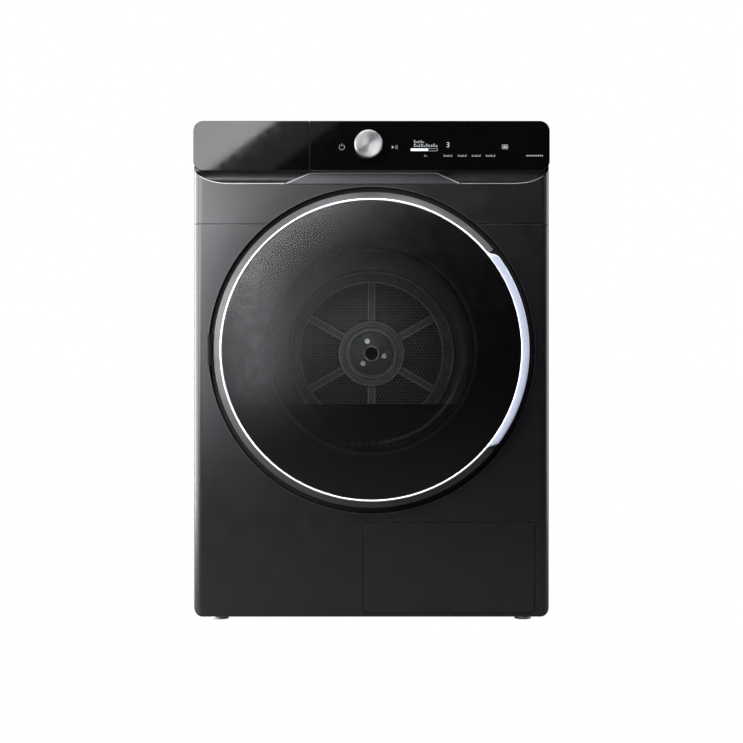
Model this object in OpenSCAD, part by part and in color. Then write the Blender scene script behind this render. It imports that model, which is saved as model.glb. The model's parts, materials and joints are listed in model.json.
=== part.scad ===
// Heat-pump clothes dryer: free-standing cabinet, round glass door, full-width control panel.
// Right is +X, the front faces -Y and up is +Z. The origin is on the floor, under the middle of the case.

/* [Cabinet] */
// Width across the side panels
cab_w = 600; // [596:1:604]
// Height from the floor to the worktop
cab_h = 843; // [840:1:850]
// Front of the door glass to the centre of the depth
half_depth = 325; // [324:1:328]
// Height of the body above the floor
foot_gap = 8.4; // [7:0.1:10]
// Thickness of the sheet steel
sheet = 1.2; // [0.8:0.1:1.5]
// Radius of the front panel's vertical edges
edge_r = 15; // [12:1:16]
// Radius of the front panel's bottom corners
bottom_r = 16; // [12:1:20]
// Radius of the top corners
top_r = 17; // [14:1:20]

/* [Control panel] */
// Height of the lower edge of the control glass
glass_low = 757; // [755:1:759]
// Place of the upright seam between drawer and panel
seam_x = -104; // [-108:1:-100]
// Radius of the programme dial
dial_r = 23.6; // [20:0.1:26]
// Sideways place of the dial
dial_x = -5; // [-8:1:0]
// Height of the dial's centre
dial_z = 799; // [792:1:802]

/* [Door] */
// Height of the door's and the drum's centre
door_z = 457; // [455:1:458]
// Radius of the door's outer glass
glass_r = 249; // [246:1:250]
// Outer radius of the bright trim
trim_r = 255; // [254:1:256]
// Outer radius of the door
door_r = 264; // [263:0.5:264]
// Radius of the recess that the door sits in
recess_r = 275; // [275:0.5:277]
// Rise of the domed glass
glass_rise = 12; // [8:1:13]

/* [Drum] */
// Outer radius of the drum
drum_r = 283; // [282:0.5:283]
// Radius of the mouth of the drum
mouth_r = 205; // [204:0.5:206]
// Depth of the drum
drum_len = 468; // [460:1:468]
// Width of a spoke in the drum's back
spoke_w = 15; // [12:1:18]

/* [Access flap] */
// Width of the flap
flap_w = 288; // [280:1:290]
// Height of the flap
flap_h = 152; // [140:1:154]
// Radius of the flap's corners
flap_r = 8; // [6:1:10]

/* [Hidden] */
$fn = 96;
eps = 0.01;
half_w = cab_w / 2;
panel_w = half_w - 2;
panel_top = cab_h - 3;
front_y = -282;
glass_y = -300;
panel_back_y = -267.2;
carrier_y = -296.6;
carrier_wall = 3.5;
rear_y = 300;
body_top = 815;
side_low = 25;
side_front_y = front_y + edge_r + 0.5;
flange_w = 13;
seam_z = 669.5;
seam_gap = 0.8;
recess_rim_z = 738;
recess_end_z = 767;
recess_bend = 60;
tongue_low_x = [-145, 149];
tongue_high_x = [-103, 110];

foot_x = 258;
foot_y = [-244, 250];
foot_r = 14.5;
stud_r = 5;
fit_gap = 0.05;
soft_gap = 0.4;

rim_y = -314;
ring_edge_y = -301;
door_back_y = -268;
dish_floor_y = -262;
throat_r = 180;
bowl_r = 172;
bowl_end_r = 160;
bowl_end_y = -246;
handle_half = 39;
hinge_x = -270.3;
hinge_y = -296;
hinge_pin_r = 2;
knuckle_r = 4.2;
hook_x = 226;

drum_front_y = -228;
drum_back_y = drum_front_y + drum_len;
drum_t = 1.5;
neck_len = 13;
bulkhead_y = [-245, -243.5];
felt_r = mouth_r - soft_gap;
spigot_r = 198;
back_hole_r = 165;
back_ring_r = 168;
back_open_r = 142;
hub_r = 67;
shaft_r = 12;
screw_ring_r = 26;
roller_r = 22;
roller_x = 175;
roller_z = door_z - sqrt(pow(drum_r + roller_r + soft_gap, 2) - roller_x * roller_x);
roller_y = -222;
roller_w = 16;
axle_r = 6;
filter_top_z = door_z - 92;
filter_y = [-237.5, -214];
filter_r = 193.8;
filter_box_y = [-242, -209];

motor_x = -150;
motor_z = 105;
motor_y = [-40, 130];
motor_r = 52;
motor_shaft_r = 8;
pulley_r = 12;
belt_y = -60;
belt_w = 8;
belt_t = 2.5;
idler_x = -193;
idler_z = 203;
idler_r = 15;
arm_x = -140;
arm_z = 150;
fan_y = [206, 250];
fan_r = 70;

duct_x = [34, 277];
duct_top = 152;
duct_end_y = 196;
flap_x = -14;
flap_z = 15;
flap_gap = 1;
flap_axis_y = -276;
flap_axis_z = flap_z + 10;
lock_x = [62, 238];
lock_z = 86;

tank_x = [-281, -127];
tank_y = [panel_back_y, 150];
tank_z = [747, 806];
tank_wall = 2.2;
gland_x = -250;
gland_z = 62;
cord_r = 4.5;
spigot_x = 236;
drain_r = 9;
kit_x = 265;
kit_z = 120;
kit_hole_r = 2.6;

steel = "#c9ccd0";
paint = "#5b5c60";
black = "#18181a";
dark = "#2b2b2d";

// A flat shape in X and Z, thickened from y0 back to y1.
module slab(y0, y1) {
    translate([0, y1, 0]) rotate([90, 0, 0]) linear_extrude(y1 - y0) children();
}

// A round bar along Y.
module bar(x, z, r, y0, y1) {
    translate([x, y1, z]) rotate([90, 0, 0]) cylinder(h = y1 - y0, r = r);
}

// A round bar along X.
module cross_bar(y, z, r, x0, x1) {
    translate([x0, y, z]) rotate([0, 90, 0]) cylinder(h = x1 - x0, r = r);
}

// A block between two corners.
module block(low, high) {
    translate(low) cube(high - low);
}

// A profile of radius and Y, turned about the door's axis.
module turned() {
    translate([0, 0, door_z]) rotate([-90, 0, 0]) rotate_extrude($fn = 180) children();
}

// The same, over an arc centred on the right-hand side.
module turned_arc(half) {
    translate([0, 0, door_z]) rotate([-90, 0, 0]) rotate([0, 0, -half])
        rotate_extrude(angle = 2 * half, $fn = 180) children();
}

// A flat ring section between two radii and two depths.
module ring_section(r0, r1, y0, y1) {
    translate([r0, y0]) square([r1 - r0, y1 - y0]);
}

// A rectangle between two corners with round corners.
module round_rect(low, high, r) {
    size = high - low;
    translate(low + [r, 0]) square(size - [2 * r, 0]);
    translate(low + [0, r]) square(size - [0, 2 * r]);
    for (x = [low[0] + r, high[0] - r], y = [low[1] + r, high[1] - r]) translate([x, y]) circle(r);
}

// The same with only its top corners round.
module round_top(low, high, r) {
    intersection() {
        round_rect(low - [0, 2 * r], high, r);
        translate(low) square(high - low);
    }
}

// Plan of the front panel, set in from its outside by a thickness.
module front_plan(inset, back) {
    r = edge_r - inset;
    w = half_w - inset;
    intersection() {
        union() {
            translate([-w + r, front_y + inset]) square([2 * (w - r), 40]);
            translate([-w, front_y + edge_r]) square([2 * w, 40]);
            for (side = [-1, 1]) translate([side * (w - r), front_y + edge_r]) circle(r);
        }
        translate([-half_w, front_y]) square([cab_w, back - front_y]);
    }
}

// The folded front skin over a height.
module front_skin(low, high) {
    translate([0, 0, low]) linear_extrude(high - low) difference() {
        front_plan(0, side_front_y);
        front_plan(sheet, side_front_y + 1);
    }
}

// Height of the panel's upper edge, bent up towards both ends.
function recess_curve(side, lift) = [for (a = [0:7.5:90])
    [side * (half_w - recess_bend + recess_bend * cos(a)),
     recess_end_z + lift - (recess_end_z - recess_rim_z) * sin(a)]];

// Everything below that upper edge.
module below_recess(low, lift) {
    left = recess_curve(-1, lift);
    polygon(concat(
        [[-half_w - eps, low], [half_w + eps, low]],
        recess_curve(1, lift),
        [for (i = [len(left) - 1:-1:0]) left[i]]
    ));
}

// The tongue between the two grip recesses, grown by a gap.
module tongue_outline(gap) {
    polygon([
        [tongue_low_x[0] - 2 * gap, recess_rim_z - 1.4 - gap],
        [tongue_low_x[1] + 2 * gap, recess_rim_z - 1.4 - gap],
        [tongue_high_x[1] + 2 * gap, glass_low - 1.5 + gap],
        [tongue_high_x[0] - 2 * gap, glass_low - 1.5 + gap]
    ]);
}

// Outline of the full control front: large round corners at the top, smaller ones below.
module control_outline() {
    intersection() {
        round_rect([-panel_w, glass_low], [panel_w, panel_top], bottom_r);
        round_top([-panel_w, glass_low], [panel_w, panel_top], top_r);
    }
}

// The left or the right share of the control front.
module control_share(x0, x1) {
    intersection() {
        control_outline();
        translate([x0, glass_low - 1]) square([x1 - x0, cab_h]);
    }
}

// Carrier behind the glass, hollow from behind.
module glass_carrier(x0, x1) {
    difference() {
        slab(carrier_y, panel_back_y) control_share(x0, x1);
        block(
            [x0 + carrier_wall, carrier_y + carrier_wall, glass_low + carrier_wall],
            [x1 - carrier_wall, panel_back_y + 1, panel_top - carrier_wall]
        );
    }
}

// The hollow grip under the glass, cut from the carriers.
module grip_hollow() {
    cross_bar(front_y - 1, (recess_rim_z + glass_low) / 2, 11, -half_w - 1, half_w + 1);
}

module base_tray() {
    low = foot_gap;
    color(dark) {
        difference() {
            union() {
                block([-283, dish_floor_y, low], [283, 296, low + 31.6]);
            }
            block([-279.5, dish_floor_y + 3.5, low + 3.6], [279.5, 292.5, low + 40]);
            for (x = [-foot_x, foot_x], y = foot_y)
                translate([x, y, 0]) cylinder(h = 30, r = 11);
            block([36, dish_floor_y - 1, 24], [269, dish_floor_y + 4, low + 40]);
        }
        for (x = [-foot_x, foot_x], y = foot_y) translate([x, y, low]) difference() {
            cylinder(h = 40, r = 11);
            translate([0, 0, -1]) cylinder(h = 50, r = stud_r + fit_gap);
        }
        block([arm_x - 12, belt_y - 30, low + 3.6], [arm_x + 12, belt_y - 17, arm_z + 9]);
        bar(arm_x, arm_z, 6, belt_y - 18, belt_y - 8);
    }
}

module foot(x, y) {
    color("#6d6d6d") translate([x, y, 0]) {
        cylinder(h = foot_gap - 0.3, r1 = foot_r, r2 = 11.7);
        cylinder(h = 52, r = stud_r);
    }
}

module side_panel(side) {
    inner = half_w - sheet;
    color(paint) mirror([side < 0 ? 1 : 0, 0, 0]) {
        difference() {
            block([inner - flange_w, side_front_y, side_low], [half_w, rear_y - sheet, body_top]);
            block(
                [inner - flange_w - 1, side_front_y + sheet, side_low + sheet],
                [inner, rear_y - 2 * sheet, body_top - sheet]
            );
            block(
                [inner - flange_w - 1, side_front_y - 1, recess_rim_z - 6],
                [inner, side_front_y + 2, body_top - sheet]
            );
        }
    }
}

module duct_cover_outline(inset) {
    hull() {
        translate([0, door_z]) circle(188 - inset);
        translate([-236 + inset, 132 + inset]) square([150 - 2 * inset, 60]);
    }
}

module rear_panel() {
    color("#9b9da0") slab(rear_y - sheet, rear_y) difference() {
        translate([-297, side_low]) square([594, body_top - side_low]);
        for (a = [0:90:270]) translate([0, door_z]) rotate(a) intersection() {
            difference() {
                circle(155);
                circle(72);
            }
            translate([8, 8]) square(160);
        }
        translate([-226, 158]) square([32, 50]);
        for (row = [0:9]) translate([215, 200 + 14 * row]) square([56, 5]);
        translate([gland_x, gland_z]) circle(10.1);
        translate([spigot_x, gland_z + 12]) circle(10.1);
        for (x = [-kit_x, kit_x]) translate([x, kit_z]) circle(kit_hole_r);
    }
}

module rear_duct_cover() {
    color("#a6a8ab") difference() {
        slab(rear_y, rear_y + 18) duct_cover_outline(0);
        slab(rear_y - 1, rear_y + 16.5) duct_cover_outline(1.5);
    }
}

module top_cover() {
    low = [-half_w, body_top];
    high = [half_w, cab_h];
    color(paint) difference() {
        slab(panel_back_y + 0.4, rear_y) round_top(low, high, top_r);
        slab(panel_back_y + 2.4, rear_y - 2)
            round_top(low + [2, -2], high - [2, 2], top_r - 2);
    }
}

module cross_rails() {
    color(steel) {
        difference() {
            block([-122, -262, 776], [286, -228, 813]);
            block([-123, -260.5, 777.5], [287, -227, 814]);
        }
        difference() {
            block([-285, 255, 770], [285, 296, 813]);
            block([-286, 254, 771.5], [286, 294.5, 814]);
        }
    }
}

module flap_hole(gap) {
    round_rect([flap_x - gap, flap_z - gap], [flap_x + flap_w + gap, flap_z + flap_h + gap], flap_r + gap);
}

module front_panel_lower() {
    color(paint) {
        difference() {
            front_skin(foot_gap, seam_z - seam_gap / 2);
            difference() {
                slab(front_y - 1, side_front_y + 1) translate([-half_w - 1, foot_gap - 1]) square([cab_w + 2, 40]);
                slab(front_y - 2, side_front_y + 2)
                    round_rect([-half_w, foot_gap], [half_w, foot_gap + 60], bottom_r);
            }
            bar(0, door_z, recess_r, front_y - 1, side_front_y + 1);
            slab(front_y - 1, front_y + 5) flap_hole(flap_gap);
        }
        for (x = [flap_x - 9, flap_x + flap_w + 3]) difference() {
            block([x, front_y + sheet, flap_axis_z - 7], [x + 6, flap_axis_y + 6, flap_axis_z + 7]);
            cross_bar(flap_axis_y, flap_axis_z, 2.5 + fit_gap, x - 1, x + 7);
        }
    }
}

module front_panel_upper() {
    color(paint) difference() {
        intersection() {
            front_skin(seam_z + seam_gap / 2, recess_end_z + 1);
            slab(front_y - 1, side_front_y + 1) below_recess(seam_z - 5, 0);
        }
        bar(0, door_z, recess_r, front_y - 1, side_front_y + 1);
        slab(front_y - 1, front_y + 5) tongue_outline(0.6);
    }
}

module centre_tongue() {
    color("#77787c") slab(front_y, front_y + 14) tongue_outline(0);
}

module control_housing() {
    color(black) difference() {
        union() {
            glass_carrier(seam_x + 1, panel_w);
            slab(front_y + 1.6, panel_back_y) difference() {
                translate([tongue_high_x[1] - 10, recess_rim_z - 4]) square([140, glass_low - recess_rim_z + 5]);
                tongue_outline(0.3);
            }
            slab(front_y + 1.6, panel_back_y) difference() {
                translate([240, recess_rim_z - 4]) square([panel_w - 240, glass_low - recess_rim_z + 5]);
                below_recess(recess_rim_z - 10, 0.3);
            }
        }
        grip_hollow();
        bar(dial_x, dial_z, 8.5, carrier_y - 1, carrier_y + 10);
    }
}

module drawer_front() {
    color(black) difference() {
        union() {
            glass_carrier(-panel_w, seam_x - 1);
            slab(front_y + 1.6, panel_back_y) difference() {
                translate([-panel_w, recess_rim_z]) square([panel_w + tongue_low_x[0] + 42, 25]);
                below_recess(recess_rim_z - 10, 0.8);
                tongue_outline(0.8);
                translate([seam_x - 1, 0]) square([100, 900]);
            }
        }
        grip_hollow();
        block([-280, carrier_y + 4, glass_low - 2], [-150, front_y - 3, glass_low + 10]);
    }
}

module control_glass() {
    color("#050506") difference() {
        slab(glass_y, carrier_y) control_share(seam_x + 0.5, panel_w);
        bar(dial_x, dial_z, 8.5, glass_y - 1, carrier_y + 1);
    }
}

module drawer_glass() {
    color("#070708") slab(glass_y, carrier_y) control_share(-panel_w, seam_x - 0.5);
}

module control_board() {
    color("#1f5a3a") {
        difference() {
            block([-92, -286, 766], [290, -284.4, 834]);
            bar(dial_x, dial_z, 3.5, -290, -280);
        }
        block([-60, -255, 778], [210, -150, 779.6]);
        for (x = [-40:44:180]) block([x, -236, 779.6], [x + 30, -176, 794]);
    }
}

module dial() {
    color("#cfcfd2") {
        bar(dial_x, dial_z, dial_r, glass_y - 20, glass_y - 0.4);
        bar(dial_x, dial_z, 8, glass_y - 1, -292);
        bar(dial_x, dial_z, 3, -293, -282);
    }
}

module tank_body() {
    color("#dfe3e6") difference() {
        block([tank_x[0], tank_y[0], tank_z[0]], [tank_x[1], tank_y[1], tank_z[1]]);
        block(
            [tank_x[0] + tank_wall, tank_y[0] + tank_wall, tank_z[0] + tank_wall],
            [tank_x[1] - tank_wall, tank_y[1] - tank_wall, tank_z[1] + 1]
        );
    }
}

module tank_lid() {
    color("#cfd4d8") difference() {
        union() {
            block([tank_x[0], tank_y[0], tank_z[1]], [tank_x[1], tank_y[1], tank_z[1] + 3]);
            translate([-204, 110, tank_z[1]]) cylinder(h = 6, r = 20);
        }
        translate([-204, 110, tank_z[1] - 1]) cylinder(h = 10, r = 14);
    }
}

module tank_tray() {
    color(dark) difference() {
        block([-285, -262, 743.6], [-123, 162, 800]);
        block([-283, -263, 746], [-125, 160, 801]);
    }
}

module door_dish() {
    color(black) difference() {
        turned() polygon([
            [recess_r, front_y + sheet], [recess_r + 3.2, front_y + sheet], [recess_r + 3.2, front_y + 3.2],
            [recess_r + 2.5, front_y + 3.2], [recess_r + 2.5, dish_floor_y + 2.5],
            [throat_r + 2.5, dish_floor_y + 2.5], [throat_r + 2.5, bulkhead_y[0]], [throat_r, bulkhead_y[0]],
            [throat_r, dish_floor_y], [recess_r, dish_floor_y]
        ]);
        block([hook_x - 13, dish_floor_y - 1, door_z - 9], [hook_x + 19, dish_floor_y + 4, door_z + 9]);
    }
}

module front_bulkhead() {
    color(steel) {
        difference() {
            slab(bulkhead_y[0], bulkhead_y[1]) difference() {
                translate([-285, 172]) square([570, 560]);
                translate([0, door_z]) circle(spigot_r - 2);
                translate([hook_x - 20, door_z - 18]) square([46, 36]);
                translate([-62, 248]) square([124, 22]);
            }
        }
        turned() ring_section(spigot_r - 2, spigot_r, bulkhead_y[1], -226);
        for (x = [-roller_x, roller_x]) bar(x, roller_z, axle_r, bulkhead_y[1], roller_y + roller_w + 4);
    }
}

module front_felt() {
    color("#d8d4cb") turned() ring_section(spigot_r, felt_r, drum_front_y - neck_len, drum_front_y + 2);
}

// The part of a disc below the top of the filter.
module below_filter_top(r, lift = 0) {
    intersection() {
        translate([0, door_z]) circle(r);
        translate([-300, 0]) square([600, filter_top_z + lift]);
    }
}

module filter_housing() {
    color("#343436") {
        difference() {
            slab(filter_box_y[0], filter_box_y[1]) below_filter_top(spigot_r - 2.2);
            slab(filter_y[0] - 0.6, filter_y[1] + 0.6) below_filter_top(filter_r + 0.6, 1);
            for (x = [-84:12:84]) block([x, filter_y[1], 290], [x + 6, filter_box_y[1] + 1, 352]);
            block([-55, filter_box_y[0] - 1, 268], [55, filter_y[0] + 0.1, 300]);
        }
        difference() {
            slab(dish_floor_y + 3, bulkhead_y[0] - 0.3) filter_duct_outline(0);
            slab(dish_floor_y + 5, bulkhead_y[0] - 2) filter_duct_outline(2.5);
            block([70, dish_floor_y + 5, duct_top - 1], [262, bulkhead_y[0] - 2, duct_top + 5]);
            block([-60, bulkhead_y[0] - 4, 252], [60, bulkhead_y[0], 269]);
        }
    }
}

module filter_duct_outline(inset) {
    polygon([
        [-75 + inset, 272 - inset], [75 - inset, 272 - inset], [268 - inset, 205 - inset],
        [268 - inset, duct_top + inset], [64 + inset, duct_top + inset], [64 + inset, 200 + inset],
        [-75 + inset, 240 + inset]
    ]);
}

module lint_filter() {
    color("#2a2a2c") difference() {
        slab(filter_y[0], filter_y[1]) below_filter_top(filter_r);
        slab(filter_y[0] + 2.4, filter_y[1] - 2.4) translate([0, -6]) below_filter_top(filter_r - 5);
        slab(filter_y[0] - 1, filter_y[1] + 1) intersection() {
            translate([0, door_z]) circle(filter_r - 16);
            translate([-100, 275]) square([200, 72]);
        }
        slab(filter_y[0] + 4, filter_y[1] - 4) translate([-40, filter_top_z - 10]) square([80, 20]);
    }
}

module drum_shell() {
    t = drum_t;
    color(steel) turned() polygon([
        [mouth_r, drum_front_y - neck_len], [mouth_r + t, drum_front_y - neck_len],
        [mouth_r + t, drum_front_y], [drum_r, drum_front_y], [drum_r, drum_back_y],
        [back_hole_r, drum_back_y], [back_hole_r, drum_back_y - t], [drum_r - t, drum_back_y - t],
        [drum_r - t, drum_front_y + t], [mouth_r, drum_front_y + t]
    ]);
}

module drum_lifters() {
    inner = drum_r - drum_t - 0.1;
    color("#8e9094") for (a = [90, 210, 330]) slab(-190, 205) translate([0, door_z]) rotate(a)
        intersection() {
            circle(inner, $fn = 180);
            polygon([[inner + 5, -34], [inner + 5, 34], [238, 12], [230, 6], [230, -6], [238, -12]]);
        }
}

module drum_back() {
    y1 = drum_back_y - drum_t;
    color("#3c3c3e") difference() {
        union() {
            turned() ring_section(back_open_r, back_ring_r, y1 - 8, y1);
            turned() ring_section(shaft_r + 0.3, hub_r, y1 - 12, y1);
            for (a = [30:60:330]) translate([0, 0, door_z]) rotate([0, a, 0])
                block([hub_r - 4, y1 - 7, -spoke_w / 2], [back_open_r + 3, y1, spoke_w / 2]);
            bar(0, door_z, 16, y1 - 15, y1 - 11);
        }
        turned() ring_section(52, 55, y1 - 13, y1 - 10);
        hub_holes(3.05);
    }
}

module hub_holes(r) {
    for (a = [109:120:349])
        bar(screw_ring_r * cos(a), door_z + screw_ring_r * sin(a), r, drum_back_y - 20, drum_back_y + 10);
}

module drum_screen() {
    y1 = drum_back_y - drum_t;
    color("#4a4a4d") difference() {
        turned() ring_section(shaft_r + 1, back_hole_r - 0.2, y1 + 0.1, y1 + 1.1);
        hub_holes(3.05);
    }
}

module hub_screws() {
    y1 = drum_back_y - drum_t - 12;
    color("#b8b8ba") for (a = [109:120:349]) {
        x = screw_ring_r * cos(a);
        z = door_z + screw_ring_r * sin(a);
        bar(x, z, 3, y1 - 1, drum_back_y + 5);
        bar(x, z, 5.5, y1 - 4, y1);
    }
}

module drum_shaft() {
    y0 = drum_back_y + 0.1;
    color("#a0a3a7") difference() {
        union() {
            bar(0, door_z, 70, y0, y0 + 5);
            for (a = [90, 210, 330]) translate([0, 0, door_z]) rotate([0, a, 0])
                block([60, y0, -14], [210, y0 + 5, 14]);
            bar(0, door_z, 26, y0 + 4, y0 + 12);
            bar(0, door_z, shaft_r, y0 + 10, 292);
        }
        hub_holes(3.05);
    }
}

module rear_bearing() {
    color("#8b8e92") difference() {
        union() {
            bar(0, door_z, 30, 262, rear_y - sheet);
            bar(0, door_z, 62, rear_y - sheet - 4, rear_y - sheet);
        }
        bar(0, door_z, shaft_r + fit_gap, 261, 294);
    }
}

module roller(side) {
    color("#2a2a2c") difference() {
        bar(side * roller_x, roller_z, roller_r, roller_y, roller_y + roller_w);
        bar(side * roller_x, roller_z, axle_r + fit_gap, roller_y - 1, roller_y + roller_w + 1);
    }
}

module belt_loop(grow) {
    hull() {
        translate([0, door_z]) circle(drum_r + grow, $fn = 240);
        translate([motor_x, motor_z]) circle(pulley_r + grow, $fn = 48);
        translate([idler_x, idler_z]) circle(idler_r + grow, $fn = 48);
    }
}

module drum_belt() {
    color("#1d1d1f") slab(belt_y - belt_w / 2, belt_y + belt_w / 2) difference() {
        belt_loop(soft_gap + belt_t);
        belt_loop(soft_gap);
    }
}

module idler_arm() {
    color(steel) difference() {
        union() {
            slab(belt_y - 14, belt_y - 10) hull() {
                translate([arm_x, arm_z]) circle(11);
                translate([idler_x, idler_z]) circle(9);
            }
            bar(idler_x, idler_z, 5, belt_y - 11, belt_y + 7);
        }
        bar(arm_x, arm_z, 6 + fit_gap, belt_y - 20, belt_y);
    }
}

module idler_pulley() {
    color("#e6e3da") difference() {
        bar(idler_x, idler_z, idler_r, belt_y - 6, belt_y + 6);
        bar(idler_x, idler_z, 5 + fit_gap, belt_y - 7, belt_y + 7);
    }
}

module motor_body() {
    color("#8d9094") {
        difference() {
            union() {
                bar(motor_x, motor_z, motor_r, motor_y[0], motor_y[1]);
                block([motor_x - 40, motor_y[0] + 10, foot_gap + 3.6],
                    [motor_x + 40, motor_y[1] - 10, motor_z - 20]);
            }
            bar(motor_x, motor_z, motor_r - 6, motor_y[0] + 6, motor_y[1] - 6);
            bar(motor_x, motor_z, motor_shaft_r + fit_gap, motor_y[0] - 1, motor_y[1] + 1);
        }
        difference() {
            bar(motor_x, motor_z, motor_r - 6, -8, 98);
            bar(motor_x, motor_z, 31, -9, 99);
        }
    }
}

module motor_rotor() {
    color("#b0b2b5") {
        bar(motor_x, motor_z, motor_shaft_r, -70, 252);
        bar(motor_x, motor_z, 30, -8, 98);
        bar(motor_x, motor_z, pulley_r, belt_y - 8, belt_y + 8);
        for (y = [belt_y - 8, belt_y + 6.5]) bar(motor_x, motor_z, pulley_r + 3, y, y + 1.5);
    }
}

module fan_impeller() {
    color("#d9d6cc") difference() {
        union() {
            bar(motor_x, motor_z, fan_r, fan_y[1] - 3, fan_y[1]);
            bar(motor_x, motor_z, 18, fan_y[0] + 6, fan_y[1]);
            difference() {
                bar(motor_x, motor_z, fan_r, fan_y[0], fan_y[0] + 2);
                bar(motor_x, motor_z, 48, fan_y[0] - 1, fan_y[0] + 3);
            }
            for (a = [0:20:340]) translate([motor_x, 0, motor_z]) rotate([0, a, 0])
                translate([46, 0, 0]) rotate([0, 25, 0])
                block([0, fan_y[0] + 1, -0.8], [22, fan_y[1] - 1, 0.8]);
        }
        bar(motor_x, motor_z, motor_shaft_r, fan_y[0] - 1, fan_y[1] + 1);
    }
}

module compressor() {
    color("#1b1b1d") translate([-222, -140, 0]) {
        translate([0, 0, 42]) cylinder(h = 10, r1 = 50, r2 = 60);
        translate([0, 0, 52]) cylinder(h = 128, r = 60);
        translate([0, 0, 180]) cylinder(h = 18, r1 = 60, r2 = 42);
        translate([0, 0, 198]) cylinder(h = 8, r = 16);
        translate([0, 0, 39]) cylinder(h = 3, r = 58);
        for (a = [30:120:270]) rotate(a) translate([46, 0, foot_gap + 3.6]) cylinder(h = 27, r = 11);
    }
}

module coil(y0, y1) {
    for (i = [0:12]) block([46 + 17 * i, y0, 18], [48 + 17 * i, y1, duct_top - 12]);
    for (z = [32:32:128], y = [y0 + 22:40:y1 - 20]) cross_bar(y, z, 5, 41, 262);
}

module refrigerant_circuit() {
    color("#b87348") {
        coil(-200, -100);
        coil(-60, 60);
        cross_bar(-138, 132, 4, -161.6, 47);
        cross_bar(-112, 60, 4, -165.5, 12);
        bar(12, 60, 4, -112, -30);
        cross_bar(-30, 60, 4, 12, 47);
        for (y = [-112, -30]) translate([12, y, 60]) sphere(4);
    }
}

module duct_cover() {
    t = 2.5;
    floor_z = foot_gap + 3.6;
    back = duct_end_y;
    color("#b9bcbf") difference() {
        union() {
            block([duct_x[0], dish_floor_y + 3.6, floor_z], [duct_x[1], back, duct_top]);
            block([-205, 140, floor_z], [duct_x[0] + 1, back, duct_top]);
            bar(motor_x, motor_z, 79, back - 1, 256);
            block([-229, back - 1, 150], [-191, rear_y - sheet, 214]);
            block([-229, back - 1, 106], [-191, 256, 160]);
        }
        block([duct_x[0] + t, dish_floor_y + 6.1, floor_z - 1], [duct_x[1] - t, back - t, duct_top - t]);
        block([-205 + t, 140 + t, floor_z - 1], [duct_x[0] + 10, back - t, duct_top - t]);
        bar(motor_x, motor_z, 76.5, back + t, 253.5);
        bar(motor_x, motor_z, 44, back - 5, back + 5);
        bar(motor_x, motor_z, motor_shaft_r + 1.5, 130, 260);
        block([-229 + t, back + t, 106], [-191 - t, 253.5, 211.5]);
        block([-229 + t, 240, 152.5], [-191 - t, rear_y, 211.5]);
        block([44, dish_floor_y, 32], [261, dish_floor_y + 10, duct_top - 14]);
        block([74, dish_floor_y + 7, duct_top - 5], [258, bulkhead_y[0] - 3, duct_top + 1]);
        cross_bar(-138, 132, 4.6, 20, 40);
        cross_bar(-30, 60, 4.6, 20, 40);
    }
}

module exchanger_cover() {
    color("#c9cbcd") difference() {
        slab(-268, dish_floor_y + 3.3) round_rect([40, 28], [265, 144], 10);
        for (x = lock_x) bar(x, lock_z, 4 + fit_gap, -270, -250);
        slab(-268.1, -266) round_rect([86, 44], [214, 128], 8);
    }
}

module cover_lock(i) {
    reach = i == 0 ? -1 : 1;
    color("#3d7fae") {
        bar(lock_x[i], lock_z, 4, -269, -260);
        slab(-274.5, -268.3) {
            translate([lock_x[i], lock_z]) circle(11);
            translate([lock_x[i] + (reach < 0 ? -38 : 0), lock_z - 5]) square([38, 10]);
        }
    }
}

module flap() {
    color(paint) {
        slab(front_y, front_y + 2.6) flap_hole(0);
        for (x = [flap_x + 4, flap_x + flap_w - 10])
            block([x, front_y + 2.6, flap_axis_z - 4], [x + 6, flap_axis_y + 3.5, flap_axis_z + 4]);
        cross_bar(flap_axis_y, flap_axis_z, 2.5, flap_x - 9, flap_x + 5);
        cross_bar(flap_axis_y, flap_axis_z, 2.5, flap_x + flap_w - 5, flap_x + flap_w + 9);
    }
}

// Front face of the domed glass at a radius.
function dome_y(r) = -half_depth + glass_rise * pow(r / glass_r, 2);

module door_glass() {
    count = 20;
    radii = [for (i = [0:count]) glass_r * i / count];
    color("#101012") turned() polygon(concat(
        [for (i = [0:count]) [radii[i], dome_y(radii[i])]],
        [for (i = [count:-1:0]) [radii[i], dome_y(radii[i]) + 4]]
    ));
}

module handle_wedge(half) {
    reach = 300;
    translate([0, door_z]) polygon([[0, 0], [reach, -reach * tan(half)], [reach, reach * tan(half)]]);
}

module door_trim() {
    color("#e9eaf0") {
        turned() ring_section(glass_r + 0.3, trim_r, rim_y, rim_y + 12);
        turned_arc(handle_half) polygon([
            [trim_r - 1, rim_y], [trim_r + 4, rim_y + 1], [door_r - 1, rim_y + 8], [door_r - 1, -291],
            [trim_r - 1, -291]
        ]);
    }
}

module hinge_space(r) {
    translate([hinge_x, hinge_y, door_z - 27]) cylinder(h = 54, r = r);
}

module leaf_space(gap) {
    block([-268, hinge_y - 2.5 - gap, door_z - 26 - gap], [-236, hinge_y + 1.5 + gap, door_z + 26 + gap]);
}

module door_ring() {
    color("#7b7b7d") difference() {
        turned() polygon([
            [trim_r + 0.3, rim_y + 5], [door_r - 1, ring_edge_y], [door_r, ring_edge_y + 1], [door_r, door_back_y],
            [door_r - 4, door_back_y], [door_r - 4, ring_edge_y + 5], [trim_r + 0.3, rim_y + 9]
        ]);
        slab(-330, -290.6) handle_wedge(handle_half + 0.3);
        slab(-291, -270) handle_wedge(30);
        hinge_space(4.8);
        leaf_space(0.2);
    }
}

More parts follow.
